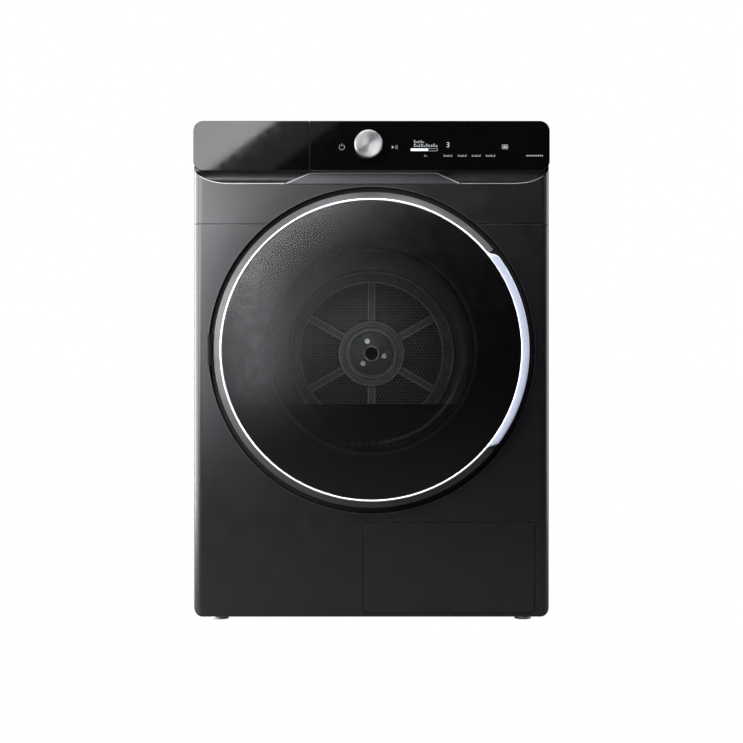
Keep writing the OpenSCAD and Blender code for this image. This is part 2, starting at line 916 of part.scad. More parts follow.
module door_back_frame() {
    color(black) {
        difference() {
            turned() polygon([
                [bowl_r + 0.3, -302], [trim_r - 2, -302], [trim_r - 2, -290.5], [door_r - 4.3, -290.5],
                [door_r - 4.3, door_back_y], [bowl_r + 0.3, door_back_y]
            ]);
            turned() ring_section(bowl_r + 3, trim_r - 5, -299, door_back_y - 3);
            slab(-294, -260) intersection() {
                handle_wedge(28);
                difference() {
                    translate([0, door_z]) circle(300);
                    translate([0, door_z]) circle(240);
                }
            }
            hinge_space(4.8);
            leaf_space(0.2);
            block([hook_x - 9, door_back_y - 4, door_z - 7], [hook_x + 7, door_back_y + 1, door_z + 7]);
        }
        turned_arc(29) ring_section(236.8, 239.6, -298.5, door_back_y - 1);
        turned_arc(28.5) ring_section(239.3, trim_r - 2.5, -298.5, -295);
        for (s = [-1, 1]) difference() {
            block([hook_x - 9, -292, door_z + s * 9 - 2], [hook_x + 7, -271, door_z + s * 9 + 2]);
            translate([hook_x, -284, door_z + s * 9 - 3]) cylinder(h = 6, r = 2 + fit_gap);
        }
    }
}

module door_bowl() {
    t = 3.5;
    color([0.5, 0.55, 0.6, 0.35]) turned() polygon([
        [bowl_r, -290], [bowl_r, -262], [bowl_r - 4, -252], [bowl_end_r, bowl_end_y], [0, bowl_end_y],
        [0, bowl_end_y - t], [bowl_end_r - 2, bowl_end_y - t], [bowl_r - 7, -254], [bowl_r - t, -263],
        [bowl_r - t, -290]
    ]);
}

module door_hinge_leaf() {
    color("#77797d") difference() {
        union() {
            for (s = [-1, 1]) translate([hinge_x, hinge_y, door_z + (s > 0 ? 8 : -26)])
                cylinder(h = 18, r = knuckle_r);
            difference() {
                block([hinge_x, hinge_y - 2, door_z - 26], [-238, hinge_y + 1.5, door_z + 26]);
                block([hinge_x - 1, hinge_y - 9, door_z - 8], [hinge_x + 5, hinge_y + 9, door_z + 8]);
            }
        }
        translate([hinge_x, hinge_y, door_z - 30]) cylinder(h = 60, r = hinge_pin_r + fit_gap);
    }
}

module door_fittings() {
    color("#77797d") {
        difference() {
            union() {
                translate([hinge_x, hinge_y, door_z - 7.6]) cylinder(h = 15.2, r = knuckle_r);
                block([hinge_x - 2.2, hinge_y, door_z - 7.6], [hinge_x + 2.2, dish_floor_y, door_z + 7.6]);
            }
            translate([hinge_x, hinge_y, door_z - 30]) cylinder(h = 60, r = hinge_pin_r);
        }
        translate([hinge_x, hinge_y, door_z - 27]) cylinder(h = 54, r = hinge_pin_r);
        difference() {
            block([hook_x - 16, dish_floor_y + 2.5, door_z - 13], [hook_x + 22, -236, door_z + 13]);
            block([hook_x - 13, dish_floor_y, door_z - 9], [hook_x + 19, -239, door_z + 9]);
        }
    }
}

module door_hook() {
    color("#b6b8bb") {
        translate([hook_x, -284, door_z - 10]) cylinder(h = 20, r = 2);
        block([hook_x - 4, -288, door_z - 5.5], [hook_x + 4, -248, door_z + 5.5]);
        block([hook_x - 4, -255, door_z - 5.5], [hook_x + 9, -248, door_z + 5.5]);
    }
}

module condensate_pump() {
    color("#dcdcd6") translate([180, 245, foot_gap + 3.6]) {
        cylinder(h = 40, r = 26);
        translate([0, 0, 40]) cylinder(h = 26, r = 17);
        translate([0, 0, 30]) rotate([0, 90, 0]) cylinder(h = 44, r = 6);
    }
}

module rear_fittings() {
    color(black) {
        difference() {
            union() {
                bar(gland_x, gland_z, 10, rear_y - 10, rear_y);
                bar(gland_x, gland_z, 17, rear_y, rear_y + 4);
                bar(gland_x, gland_z, 12, rear_y, half_depth);
            }
            bar(gland_x, gland_z, cord_r, rear_y - 11, half_depth + 1);
        }
        difference() {
            union() {
                bar(spigot_x, gland_z + 12, 10, rear_y - 12, rear_y);
                bar(spigot_x, gland_z + 12, 14, rear_y, rear_y + 4);
                bar(spigot_x, gland_z + 12, drain_r, rear_y, half_depth);
            }
            bar(spigot_x, gland_z + 12, 6.5, rear_y - 13, half_depth + 1);
        }
    }
}

base_tray();
side_panel(-1);  // side_panel_left
side_panel(1);  // side_panel_right
rear_panel();
rear_duct_cover();
top_cover();
cross_rails();
front_panel_lower();
front_panel_upper();
centre_tongue();
control_housing();
control_glass();
control_board();
dial();
drawer_front();
drawer_glass();
tank_body();
tank_lid();
tank_tray();
door_dish();
front_bulkhead();
front_felt();
filter_housing();
lint_filter();
drum_shell();
drum_lifters();
drum_back();
drum_screen();
hub_screws();
drum_shaft();
rear_bearing();
condensate_pump();
roller(-1);  // roller_left
roller(1);  // roller_right
drum_belt();
idler_arm();
idler_pulley();
motor_body();
motor_rotor();
fan_impeller();
compressor();
refrigerant_circuit();
duct_cover();
exchanger_cover();
cover_lock(0);  // cover_lock_left
cover_lock(1);  // cover_lock_right
flap();
door_glass();
door_trim();
door_ring();
door_back_frame();
door_bowl();
door_hinge_leaf();
door_fittings();
door_hook();
rear_fittings();
foot(-foot_x, foot_y[0]);  // foot_1
foot(foot_x, foot_y[0]);  // foot_2
foot(-foot_x, foot_y[1]);  // foot_3
foot(foot_x, foot_y[1]);  // foot_4
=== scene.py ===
import json
import math
import bmesh
import bpy
from mathutils import Matrix, Vector


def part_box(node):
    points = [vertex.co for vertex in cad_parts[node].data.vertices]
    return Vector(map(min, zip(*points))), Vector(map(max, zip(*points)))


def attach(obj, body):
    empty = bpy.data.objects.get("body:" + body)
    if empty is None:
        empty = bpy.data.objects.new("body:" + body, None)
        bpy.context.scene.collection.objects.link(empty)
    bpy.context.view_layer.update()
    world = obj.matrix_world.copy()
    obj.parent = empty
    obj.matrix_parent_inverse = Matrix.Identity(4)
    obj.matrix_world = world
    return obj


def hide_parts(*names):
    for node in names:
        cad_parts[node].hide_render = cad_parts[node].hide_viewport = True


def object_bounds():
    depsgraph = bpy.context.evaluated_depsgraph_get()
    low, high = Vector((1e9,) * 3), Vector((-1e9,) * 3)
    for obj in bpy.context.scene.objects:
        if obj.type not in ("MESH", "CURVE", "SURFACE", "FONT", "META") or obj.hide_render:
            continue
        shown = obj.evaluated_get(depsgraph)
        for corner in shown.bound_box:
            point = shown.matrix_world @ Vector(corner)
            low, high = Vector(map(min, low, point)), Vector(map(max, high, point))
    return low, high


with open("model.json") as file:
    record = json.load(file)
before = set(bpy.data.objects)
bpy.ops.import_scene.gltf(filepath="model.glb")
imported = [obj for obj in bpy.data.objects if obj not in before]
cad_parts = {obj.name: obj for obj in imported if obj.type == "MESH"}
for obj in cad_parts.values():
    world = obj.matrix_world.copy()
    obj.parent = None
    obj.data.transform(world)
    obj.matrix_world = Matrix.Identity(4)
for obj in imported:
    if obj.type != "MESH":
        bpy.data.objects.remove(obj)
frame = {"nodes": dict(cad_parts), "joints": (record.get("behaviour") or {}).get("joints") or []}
cad_low, cad_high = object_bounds()
nodes = frame["nodes"]
MM = 0.001
TINY_R = 0.1 * MM     # radius of a corner that is meant to be square
PAST = 0.01           # how far a cutting tool reaches beyond a sheet
HAIR = 1e-6           # keeps two faces out of one plane
PROUD = 0.05 * MM     # how far an edge line stands out of its sheet


# ---------------------------------------------------------------- sizes, from the frame
def joint_at(name):
    """Place of a hinge in the frame."""
    return Vector(next(j for j in frame["joints"] if j["name"] == name)["pos_m"])


CENTRE_Z = joint_at("drum_spin").z
PANEL_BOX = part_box("front_panel_lower")
FRONT_Y, PANEL_BACK = PANEL_BOX[0].y, PANEL_BOX[1].y
GLASS_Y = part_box("control_glass")[0].y
HALF_W = cad_high[0]
DIAL = joint_at("dial_turn")
DIAL_R = (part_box("dial")[1].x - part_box("dial")[0].x) / 2
GLASS_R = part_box("door_glass")[1].x
DOOR_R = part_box("door_ring")[1].x
RIM_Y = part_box("door_trim")[0].y
RECESS_R = 275 * MM
SEAM_Z = PANEL_BOX[1].z + 0.4 * MM
RIM_Z = 738 * MM
RIM_END_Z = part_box("front_panel_upper")[1].z
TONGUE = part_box("centre_tongue")
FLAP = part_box("flap")


# ---------------------------------------------------------------- mesh helpers
def link_object(name, data):
    obj = bpy.data.objects.new(name, data)
    bpy.context.scene.collection.objects.link(obj)
    return obj


def add_object(name, mesh, body, slot, *replaced, origin=(0, 0), material=None, angle=None):
    """A piece on a body, its mesh given about an origin in X and Z; an angle has it shaded smooth."""
    obj = link_object(name, mesh)
    obj.location = (origin[0], 0, origin[1])
    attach(obj, body)
    if replaced:
        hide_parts(*replaced)
    if angle:
        smooth(obj, angle)
    if material:
        dress(obj, material)
    return obj


def mesh_from(name, verts, faces):
    mesh = bpy.data.meshes.new(name)
    mesh.from_pydata([tuple(v) for v in verts], [], faces)
    bm = bmesh.new()
    bm.from_mesh(mesh)
    bmesh.ops.remove_doubles(bm, verts=bm.verts, dist=1e-6)
    bmesh.ops.recalc_face_normals(bm, faces=bm.faces)
    bm.to_mesh(mesh)
    bm.free()
    return mesh


def from_axis(x, z):
    """Distance from the drum's axis."""
    return math.hypot(x, z - CENTRE_Z)


def join_meshes(name, meshes):
    """One mesh of several separate solids."""
    bm = bmesh.new()
    for mesh in meshes:
        bm.from_mesh(mesh)
    out = bpy.data.meshes.new(name)
    bm.to_mesh(out)
    bm.free()
    return out


def prism(name, outline, low, high, axis="y"):
    """A closed outline, thickened along one axis; its points are in the other two, in order."""
    place = {"x": lambda a, b, d: (d, a, b), "y": lambda a, b, d: (a, d, b), "z": lambda a, b, d: (a, b, d)}[axis]
    n = len(outline)
    verts = [place(a, b, low) for a, b in outline] + [place(a, b, high) for a, b in outline]
    faces = [tuple(range(n)), tuple(range(2 * n - 1, n - 1, -1))]
    faces += [(i, (i + 1) % n, n + (i + 1) % n, n + i) for i in range(n)]
    return mesh_from(name, verts, faces)


def mm(x0, y0, *points):
    """Points of an outline or a profile, given in millimetres from a place."""
    return [(x0 + x * MM, y0 + y * MM) for x, y in points]


def turned(name, profile, steps=256, centre=(0.0, CENTRE_Z), closed=True):
    """A profile of radius and Y, turned about an axis along Y. A radius of zero becomes a pole."""
    cx, cz = centre
    verts, faces, rings = [], [], []
    for r, y in profile:
        if r < 1e-7:
            rings.append([len(verts)] * steps)
            verts.append((cx, y, cz))
        else:
            rings.append(list(range(len(verts), len(verts) + steps)))
            for i in range(steps):
                a = 2 * math.pi * i / steps
                verts.append((cx + r * math.cos(a), y, cz + r * math.sin(a)))
    pairs = list(zip(rings, rings[1:] + rings[:1])) if closed else list(zip(rings, rings[1:]))
    for low, high in pairs:
        for i in range(steps):
            j = (i + 1) % steps
            corner = []
            for v in (low[i], low[j], high[j], high[i]):
                if v not in corner:
                    corner.append(v)
            if len(corner) > 2:
                faces.append(tuple(corner))
    return mesh_from(name, verts, faces)


def tube(name, r0, r1, y0, y1, steps=256, centre=(0.0, CENTRE_Z)):
    """A plain tube along Y, or a round bar where the inner radius is zero."""
    return turned(name, [(r0, y0), (r1, y0), (r1, y1), (r0, y1)], steps, centre, closed=r0 > 0)


def polar(cx, cz, r, degrees):
    """The point at a distance and an angle from a place."""
    a = math.radians(degrees)
    return cx + r * math.cos(a), cz + r * math.sin(a)


def arc(cx, cz, r, a0, a1, steps=10):
    """Points along an arc, in degrees."""
    return [polar(cx, cz, r, a0 + (a1 - a0) * i / steps) for i in range(steps + 1)]


def circle(cx, cz, r):
    """A closed outline of 24 points."""
    return arc(cx, cz, r, 0, 345, 23)


def round_box(x0, z0, x1, z1, radii, steps=10):
    """A rectangle with its own radius at each corner: low left, low right, high right, high left."""
    a, b, c, d = radii
    return (
        arc(x0 + a, z0 + a, a, 180, 270, steps)
        + arc(x1 - b, z0 + b, b, 270, 360, steps)
        + arc(x1 - c, z1 - c, c, 0, 90, steps)
        + arc(x0 + d, z1 - d, d, 90, 180, steps)
    )


def cut(obj, mesh, operation="DIFFERENCE"):
    """Cuts a mesh with another, at once."""
    tool = link_object("cutter", mesh)
    step = obj.modifiers.new("cut", "BOOLEAN")
    step.operation = operation
    step.solver = "EXACT"
    step.object = tool
    apply_modifiers(obj)
    bpy.data.objects.remove(tool)


def apply_modifiers(obj):
    bpy.context.view_layer.update()
    graph = bpy.context.evaluated_depsgraph_get()
    done = bpy.data.meshes.new_from_object(obj.evaluated_get(graph))
    obj.modifiers.clear()
    obj.data = done


def soften(obj, width, segments=3, angle=35):
    """Rounds the sharp edges and shades the rest smooth."""
    step = obj.modifiers.new("round", "BEVEL")
    step.width = width
    step.segments = segments
    step.limit_method = "ANGLE"
    step.angle_limit = math.radians(angle)
    return smooth(obj, 40)


def smooth(obj, angle):
    """Shades a piece smooth, apart from the edges sharper than an angle."""
    obj.data.shade_smooth()
    bm = bmesh.new()
    bm.from_mesh(obj.data)
    for edge in bm.edges:
        if len(edge.link_faces) == 2 and edge.calc_face_angle(0) > math.radians(angle):
            edge.smooth = False
    bm.to_mesh(obj.data)
    bm.free()
    return obj


# ---------------------------------------------------------------- materials
class Shader:
    """A material with a Principled shader and short ways to wire textures to it."""

    def __init__(self, name, **values):
        self.material = bpy.data.materials.new(name)
        self.material.use_nodes = True
        self.tree = self.material.node_tree
        self.shader = self.tree.nodes["Principled BSDF"]
        for key, value in values.items():
            socket = self.shader.inputs[key.replace("_", " ")]
            socket.default_value = (*value, 1) if isinstance(value, tuple) else value
        self.place = self.tree.nodes.new("ShaderNodeTexCoord").outputs["Object"]

    def node(self, kind, **values):
        made = self.tree.nodes.new(kind)
        for key, value in values.items():
            if key in made.inputs:
                made.inputs[key].default_value = value
            else:
                setattr(made, key, value)
        return made

    def link(self, a, b):
        self.tree.links.new(a, b)

    def stretched(self, scale):
        made = self.node("ShaderNodeMapping")
        made.inputs["Scale"].default_value = scale
        self.link(self.place, made.inputs["Vector"])
        return made.outputs["Vector"]

    def noise(self, size, detail=3.0, scale=(1, 1, 1)):
        made = self.node("ShaderNodeTexNoise", Scale=1 / size, Detail=detail, Roughness=0.55)
        self.link(self.stretched(scale), made.inputs["Vector"])
        return made.outputs["Fac"]

    def ramp(self, source, low, high, a=0.35, b=0.65):
        """Spreads a texture between two numbers."""
        limits = {"From Min": a, "From Max": b, "To Min": low, "To Max": high}
        made = self.node("ShaderNodeMapRange", **limits)
        self.link(source, made.inputs["Value"])
        return made.outputs["Result"]

    def colours(self, source, low, high, a=0.35, b=0.65):
        """Spreads a texture between two colours; a single number is a grey."""
        low, high = (c if isinstance(c, tuple) else (c, c, c) for c in (low, high))
        made = self.node("ShaderNodeValToRGB")
        for end, position, colour in zip(made.color_ramp.elements, (a, b), (low, high)):
            end.position, end.color = position, (*colour, 1)
        self.link(source, made.inputs["Fac"])
        self.link(made.outputs["Color"], self.shader.inputs["Base Color"])

    def rough(self, source, low, high):
        self.link(self.ramp(source, low, high), self.shader.inputs["Roughness"])

    def bump(self, source, depth, strength=1.0):
        made = self.node("ShaderNodeBump", Strength=strength, Distance=depth)
        self.link(source, made.inputs["Height"])
        self.link(made.outputs["Normal"], self.shader.inputs["Normal"])


def painted(name, low, high, rough=(0.29, 0.34), flake=0.45, coat=0.35):
    """Metallic stoving paint: fine flake, a slight orange peel and a clear coat."""
    m = Shader(name, Metallic=flake, Coat_Weight=coat, Coat_Roughness=0.22)
    m.colours(m.noise(0.7 * MM, 2.0), low, high)
    m.rough(m.noise(30 * MM, 3.0), *rough)
    m.bump(m.noise(1.6 * MM, 2.0), 0.02 * MM, 0.25)
    return m.material


def moulded(name, low, high, rough=(0.45, 0.6), grain=0.35, depth=0.04, shine=0.5):
    """Injection-moulded plastic with a fine spark-eroded grain."""
    m = Shader(name, Specular_IOR_Level=shine)
    m.colours(m.noise(24 * MM, 4.0), low, high)
    m.rough(m.noise(6 * MM, 3.0), *rough)
    m.bump(m.noise(grain * MM * 2, 3.0), depth * MM, 0.4)
    return m.material


def sheet_steel(name, low, high, rough=(0.28, 0.42), along=(1, 1, 0.04), metallic=0.95):
    """Rolled steel, with its rolling marks along one direction."""
    m = Shader(name, Metallic=metallic)
    m.colours(m.noise(3 * MM, 4.0, along), low, high)
    m.rough(m.noise(2 * MM, 4.0, along), *rough)
    m.bump(m.noise(1.2 * MM, 3.0, along), 0.01 * MM, 0.4)
    return m.material


def galvanised_shaded_inside(name, low, high, outside_y):
    """Zinc-coated sheet; its side that faces into the cabinet is near black, painted shade for the dark inside the
    cabinet.
    """
    m = Shader(name)
    m.colours(m.noise(14 * MM, 2.0), low, high)
    m.rough(m.noise(8 * MM, 2.0), 0.38, 0.52)
    place = m.node("ShaderNodeSeparateXYZ")
    m.link(m.place, place.inputs[0])
    gate = m.node("ShaderNodeMath", operation="GREATER_THAN")
    m.link(place.outputs["Y"], gate.inputs[0])
    gate.inputs[1].default_value = outside_y
    # Near black on the inner side: painted shade.
    painted_inside_shade = m.node("ShaderNodeMix", data_type="RGBA")
    m.link(gate.outputs[0], painted_inside_shade.inputs[0])
    painted_inside_shade.inputs[6].default_value = (0.008, 0.008, 0.008, 1)
    m.link(m.shader.inputs["Base Color"].links[0].from_socket, painted_inside_shade.inputs[7])
    m.link(painted_inside_shade.outputs[2], m.shader.inputs["Base Color"])
    m.link(gate.outputs[0], m.shader.inputs["Metallic"])
    return m.material


def gloss_black(name):
    """Back-printed black glass: even, with the slightest waviness."""
    m, tone = Shader(name, IOR=1.37), 0.0006
    m.colours(m.noise(60 * MM, 2.0), tone, (tone * 1.3, tone * 1.3, tone * 1.4))
    m.rough(m.noise(15 * MM, 2.0), 0.045, 0.07)
    return m.material


def chrome(name):
    """Bright plated trim with faint polishing marks."""
    m = Shader(name, Metallic=0.35)
    m.colours(m.noise(8 * MM, 3.0), (0.74, 0.76, 0.85), (0.82, 0.83, 0.90))
    m.rough(m.noise(3 * MM, 4.0), 0.16, 0.24)
    return m.material


def spun_metal(name):
    """Lathe-turned aluminium: fine rings and a fan of highlights."""
    m = Shader(name, Metallic=1.0, Anisotropic=0.9, Anisotropic_Rotation=0.25)
    tangent = m.node("ShaderNodeTangent", direction_type="RADIAL", axis="Y")
    m.link(tangent.outputs["Tangent"], m.shader.inputs["Tangent"])
    rings = m.node("ShaderNodeTexWave", wave_type="RINGS", rings_direction="Y", Scale=520.0, Distortion=0.6)
    m.link(m.place, rings.inputs["Vector"])
    m.colours(rings.outputs["Fac"], (0.14, 0.14, 0.145), (0.23, 0.23, 0.235), 0.0, 1.0)
    m.rough(rings.outputs["Fac"], 0.28, 0.36)
    m.bump(rings.outputs["Fac"], 0.01 * MM, 0.25)
    return m.material


def tinted_pane(name, tint, gloss_rough, reflect):
    """Thin glass: what is behind shows through, darkened, under a plain reflection."""
    m = Shader(name)
    clear = m.node("ShaderNodeBsdfTransparent", Color=(*tint, 1))
    shine = m.node("ShaderNodeBsdfGlossy", Roughness=gloss_rough)
    facing = m.node("ShaderNodeFresnel", IOR=reflect)
    mix = m.node("ShaderNodeMixShader")
    m.link(facing.outputs["Fac"], mix.inputs[0])
    m.link(clear.outputs[0], mix.inputs[1])
    m.link(shine.outputs[0], mix.inputs[2])
    m.link(mix.outputs[0], m.tree.nodes["Material Output"].inputs["Surface"])
    m.link(m.ramp(m.noise(20 * MM, 2.0), gloss_rough * 0.9, gloss_rough * 1.1), shine.inputs["Roughness"])
    m.tree.nodes.remove(m.shader)
    return m.material


def lit(name, colour, strength):
    """A printed or lit mark behind the control glass."""
    m = Shader(name, Emission_Color=colour, Emission_Strength=strength, Roughness=0.4)
    m.colours(m.noise(1 * MM, 2.0), tuple(0.2 * c for c in colour), tuple(0.25 * c for c in colour))
    return m.material


def felt(name):
    m = Shader(name, Roughness=0.95, Sheen_Weight=0.5)
    m.colours(m.noise(2 * MM, 6.0), (0.42, 0.40, 0.35), (0.62, 0.59, 0.52))
    m.bump(m.noise(0.6 * MM, 6.0), 0.3 * MM, 0.9)
    return m.material


def fin_stack(name):
    """Aluminium fins of a heat exchanger, seen edge on."""
    m = Shader(name, Metallic=0.9)
    m.colours(m.noise(3 * MM, 3.0, (6, 1, 1)), (0.42, 0.27, 0.18), (0.74, 0.52, 0.38))
    m.rough(m.noise(2 * MM, 4.0), 0.3, 0.5)
    return m.material


PAINT = painted("graphite_paint", (0.0026, 0.0026, 0.0034), (0.0046, 0.0046, 0.0058))
TRIM_PAINT = painted("grey_trim", (0.018, 0.018, 0.019), (0.024, 0.024, 0.0255), (0.55, 0.65), 0.1, 0.05)
# A lighter copy of the graphite paint: painted highlight, for the light the tongue catches and for the thin lines at
# the seam and the recess.
HIGHLIGHT_PAINT = painted("painted_highlight_grey", (0.028, 0.028, 0.032), (0.036, 0.036, 0.041))
# Light grey for thin strips along the sheets' top edges and the tongue: painted highlight where those edges catch
# light.
EDGE_HIGHLIGHT = painted("painted_edge_highlight", (0.22, 0.22, 0.225), (0.28, 0.28, 0.285), (0.3, 0.4), 0.2, 0.2)
# The rear sheet, near black on its inner side as painted shade.
REAR_PAINT = galvanised_shaded_inside("galvanised_shaded_inside", (0.36, 0.37, 0.38), (0.50, 0.51, 0.52), cad_high[1] - 25.6 * MM)
BLACK = moulded("black_plastic", (0.010, 0.010, 0.011), (0.016, 0.016, 0.017), (0.32, 0.45))
DARK = moulded("dark_plastic", (0.022, 0.022, 0.023), (0.034, 0.034, 0.036))
MOAT = moulded("recess_plastic", 0.003, 0.005, (0.4, 0.5), shine=0.3)
HINGE = moulded("hinge_black", 0.003, 0.005, (0.75, 0.9), shine=0.08)
GREY = moulded("grey_plastic", (0.36, 0.37, 0.38), (0.40, 0.41, 0.42))
WHITE = moulded("white_plastic", (0.66, 0.66, 0.63), (0.76, 0.76, 0.74))
CLEAR = moulded("tank_plastic", (0.105, 0.115, 0.125), (0.125, 0.135, 0.145), (0.3, 0.45))
BLUE = moulded("blue_plastic", (0.05, 0.19, 0.36), (0.08, 0.25, 0.45))
STEEL = sheet_steel("sheet_steel", (0.44, 0.45, 0.46), (0.60, 0.61, 0.62))
# Drum steel held darker than bare steel, so that the back of the drum reads as in shade: partly painted shade.
DRUM = sheet_steel("drum_steel", (0.19, 0.195, 0.20), (0.26, 0.265, 0.27), (0.28, 0.38), (1, 0.04, 1))
ZINC = sheet_steel("zinc_steel", (0.42, 0.42, 0.41), (0.60, 0.60, 0.58), (0.3, 0.5), (1, 1, 1))
CAST = sheet_steel("cast_metal", (0.22, 0.23, 0.24), (0.32, 0.33, 0.34), (0.5, 0.7), (1, 1, 1), 0.6)
ENAMEL = painted("black_enamel", (0.010, 0.010, 0.011), (0.016, 0.016, 0.018))
RUBBER = moulded("rubber", 0.016, 0.028, (0.7, 0.85), 0.6, 0.08)
FOOT = moulded("foot_rubber", 0.62, 0.72, (0.55, 0.7), 0.6, 0.06)
FELT = felt("felt")
COPPER = fin_stack("copper_and_fins")
BOARD = moulded("circuit_board", (0.015, 0.10, 0.05), (0.03, 0.17, 0.09), (0.3, 0.5))
CHROME = chrome("chrome_trim")
SATIN = sheet_steel("satin_handle", (0.32, 0.35, 0.45), (0.36, 0.39, 0.49), (0.4, 0.5), (1, 1, 1), 0.35)
SPUN = spun_metal("spun_metal")
DIAL_SIDE = sheet_steel("dial_side", (0.10, 0.10, 0.105), (0.16, 0.16, 0.165), (0.25, 0.35), (1, 1, 1))
PANEL_GLASS = gloss_black("panel_glass")
DOOR_PANE = tinted_pane("door_pane", (0.34, 0.34, 0.35), 0.24, 1.40)
BOWL_PANE = tinted_pane("bowl_pane", (0.80, 0.82, 0.82), 0.05, 1.25)
MASK = moulded("door_mask", (0.003, 0.003, 0.0034), (0.005, 0.005, 0.0055), (0.5, 0.6), shine=0.1)
BACK_FRAME = moulded("back_frame", (0.030, 0.030, 0.031), (0.040, 0.040, 0.042), (0.5, 0.6))
SPIDER = moulded("spider_plastic", (0.21, 0.21, 0.214), (0.26, 0.26, 0.265), (0.35, 0.5))
# A much lighter copy of the spider's plastic, for its beads: painted highlight along the spokes' edges.
BEAD_HIGHLIGHT = moulded("bead_painted_highlight", (0.50, 0.50, 0.505), (0.60, 0.60, 0.605), (0.35, 0.5))
SCREEN = sheet_steel("screen_steel", (0.15, 0.15, 0.153), (0.19, 0.19, 0.194), (0.4, 0.55), (1, 1, 1), 0.3)
PADDLE = moulded("paddle_plastic", (0.10, 0.10, 0.105), (0.13, 0.13, 0.135), (0.35, 0.5))
MARK = lit("lit_mark", (0.85, 0.88, 0.92), 0.85)
DIM_MARK = lit("dim_mark", (0.6, 0.62, 0.66), 0.08)
FAINT_MARK = lit("faint_mark", (0.6, 0.62, 0.66), 0.30)

CAD_MATERIALS = (
    (DARK, "base_tray tank_tray drum_back"),
    (PAINT, "side_panel_left side_panel_right top_cover front_panel_lower front_panel_upper flap"),
    (REAR_PAINT, "rear_panel"),
    # Black enamel on the duct cover, a colour such a cover can have, chosen so that the space behind the drum's holes
    # stays dark: painted shade.
    (ENAMEL, "rear_duct_cover compressor"),
    (STEEL, "cross_rails front_bulkhead"),
    (TRIM_PAINT, "centre_tongue door_ring"),
    (BLACK, "control_housing drawer_front rear_fittings"),
    (PANEL_GLASS, "control_glass drawer_glass"),
    (BOARD, "control_board"),
    (SPUN, "dial"),
    (CLEAR, "tank_body tank_lid"),
    (MOAT, "door_dish filter_housing lint_filter"),
    (FELT, "front_felt"),
    (DRUM, "drum_shell drum_lifters drum_screen"),
    (ZINC, "hub_screws idler_arm motor_rotor door_hook"),
    (HINGE, "drum_shaft door_hinge_leaf door_fittings"),
    (CAST, "rear_bearing motor_body"),
    (WHITE, "condensate_pump idler_pulley fan_impeller"),
    (RUBBER, "roller_left roller_right drum_belt"),
    (COPPER, "refrigerant_circuit"),
    (GREY, "duct_cover exchanger_cover"),
    (BLUE, "cover_lock_left cover_lock_right"),
    (DOOR_PANE, "door_glass"),
    (CHROME, "door_trim"),
    (BACK_FRAME, "door_back_frame"),
    (BOWL_PANE, "door_bowl"),
    (FOOT, "foot_1 foot_2 foot_3 foot_4"),
)


def dress(obj, material):
    """Gives a piece one material, in place of any it has."""
    obj.data.materials.clear()
    obj.data.materials.append(material)
    return obj


for material, names in CAD_MATERIALS:
    for node_name in names.split():
        dress(nodes[node_name], material)


# ---------------------------------------------------------------- front panels
EDGE_R = 15 * MM
SKIN = 1.2 * MM


def skin_plan():
    """Plan of the folded front sheet: flat, with a round fold at each side."""
    inner_w, r = HALF_W - SKIN, EDGE_R
    outside = [(-HALF_W, PANEL_BACK)]
    outside += arc(-HALF_W + r, FRONT_Y + r, r, 180, 270, 14)
    outside += arc(HALF_W - r, FRONT_Y + r, r, 270, 360, 14)
    outside += [(HALF_W, PANEL_BACK), (inner_w, PANEL_BACK)]
    inside = arc(HALF_W - r, FRONT_Y + r, r - SKIN, 360, 270, 14)
    inside += arc(-HALF_W + r, FRONT_Y + r, r - SKIN, 270, 180, 14)
    return outside + inside + [(-inner_w, PANEL_BACK)]


def rim_curve(lift=0.0, steps=16):
    """Upper edge of the front panel, from right to left, bent up at both ends."""
    bend = 60 * MM
    drop = RIM_END_Z - RIM_Z
    right = [
        (HALF_W - bend + bend * math.cos(math.radians(90 * i / steps)),
         RIM_END_Z + lift - drop * math.sin(math.radians(90 * i / steps)))
        for i in range(steps + 1)
    ]
    return right + [(-x, z) for x, z in reversed(right)]


def tongue_outline(gap=0.0):
    """The tongue's four corners, from its low left; a gap widens it."""
    low, high = TONGUE
    return [
        (-145 * MM - 2 * gap, low.z - gap), (149 * MM + 2 * gap, low.z - gap),
        (110 * MM + 2 * gap, high.z + gap), (-103 * MM - 2 * gap, high.z + gap),
    ]


def front_sheet(name, shape, holes, node):
    """One of the two front sheets: the folded skin inside a shape, with holes cut in it."""
    obj = add_object(name, prism(name, skin_plan(), 0.0, 0.8, "z"), "cabinet", "graphite_paint", node)
    cut(obj, prism("shape", shape, FRONT_Y - PAST, PANEL_BACK + PAST), "INTERSECT")
    for hole in holes:
        cut(obj, hole)
    soften(obj, 0.9 * MM, 3)
    return dress(obj, PAINT)


def recess_tool():
    """Cuts the round opening that the door sits in."""
    return tube("tool", 0, RECESS_R, FRONT_Y - 2 * PAST, PANEL_BACK + 2 * PAST, 360)


def flap_outline(gap=0.0):
    low, high = FLAP
    x0, x1 = -14 * MM - gap, 274 * MM + gap     # the flap without its pins
    r = 8 * MM + gap
    return round_box(x0, low.z - gap, x1, high.z + gap, (r, r, r, r))


BOTTOM_Z = PANEL_BOX[0].z
SEAM_TOP = SEAM_Z - 0.5 * MM
BOTTOM_R = 16 * MM


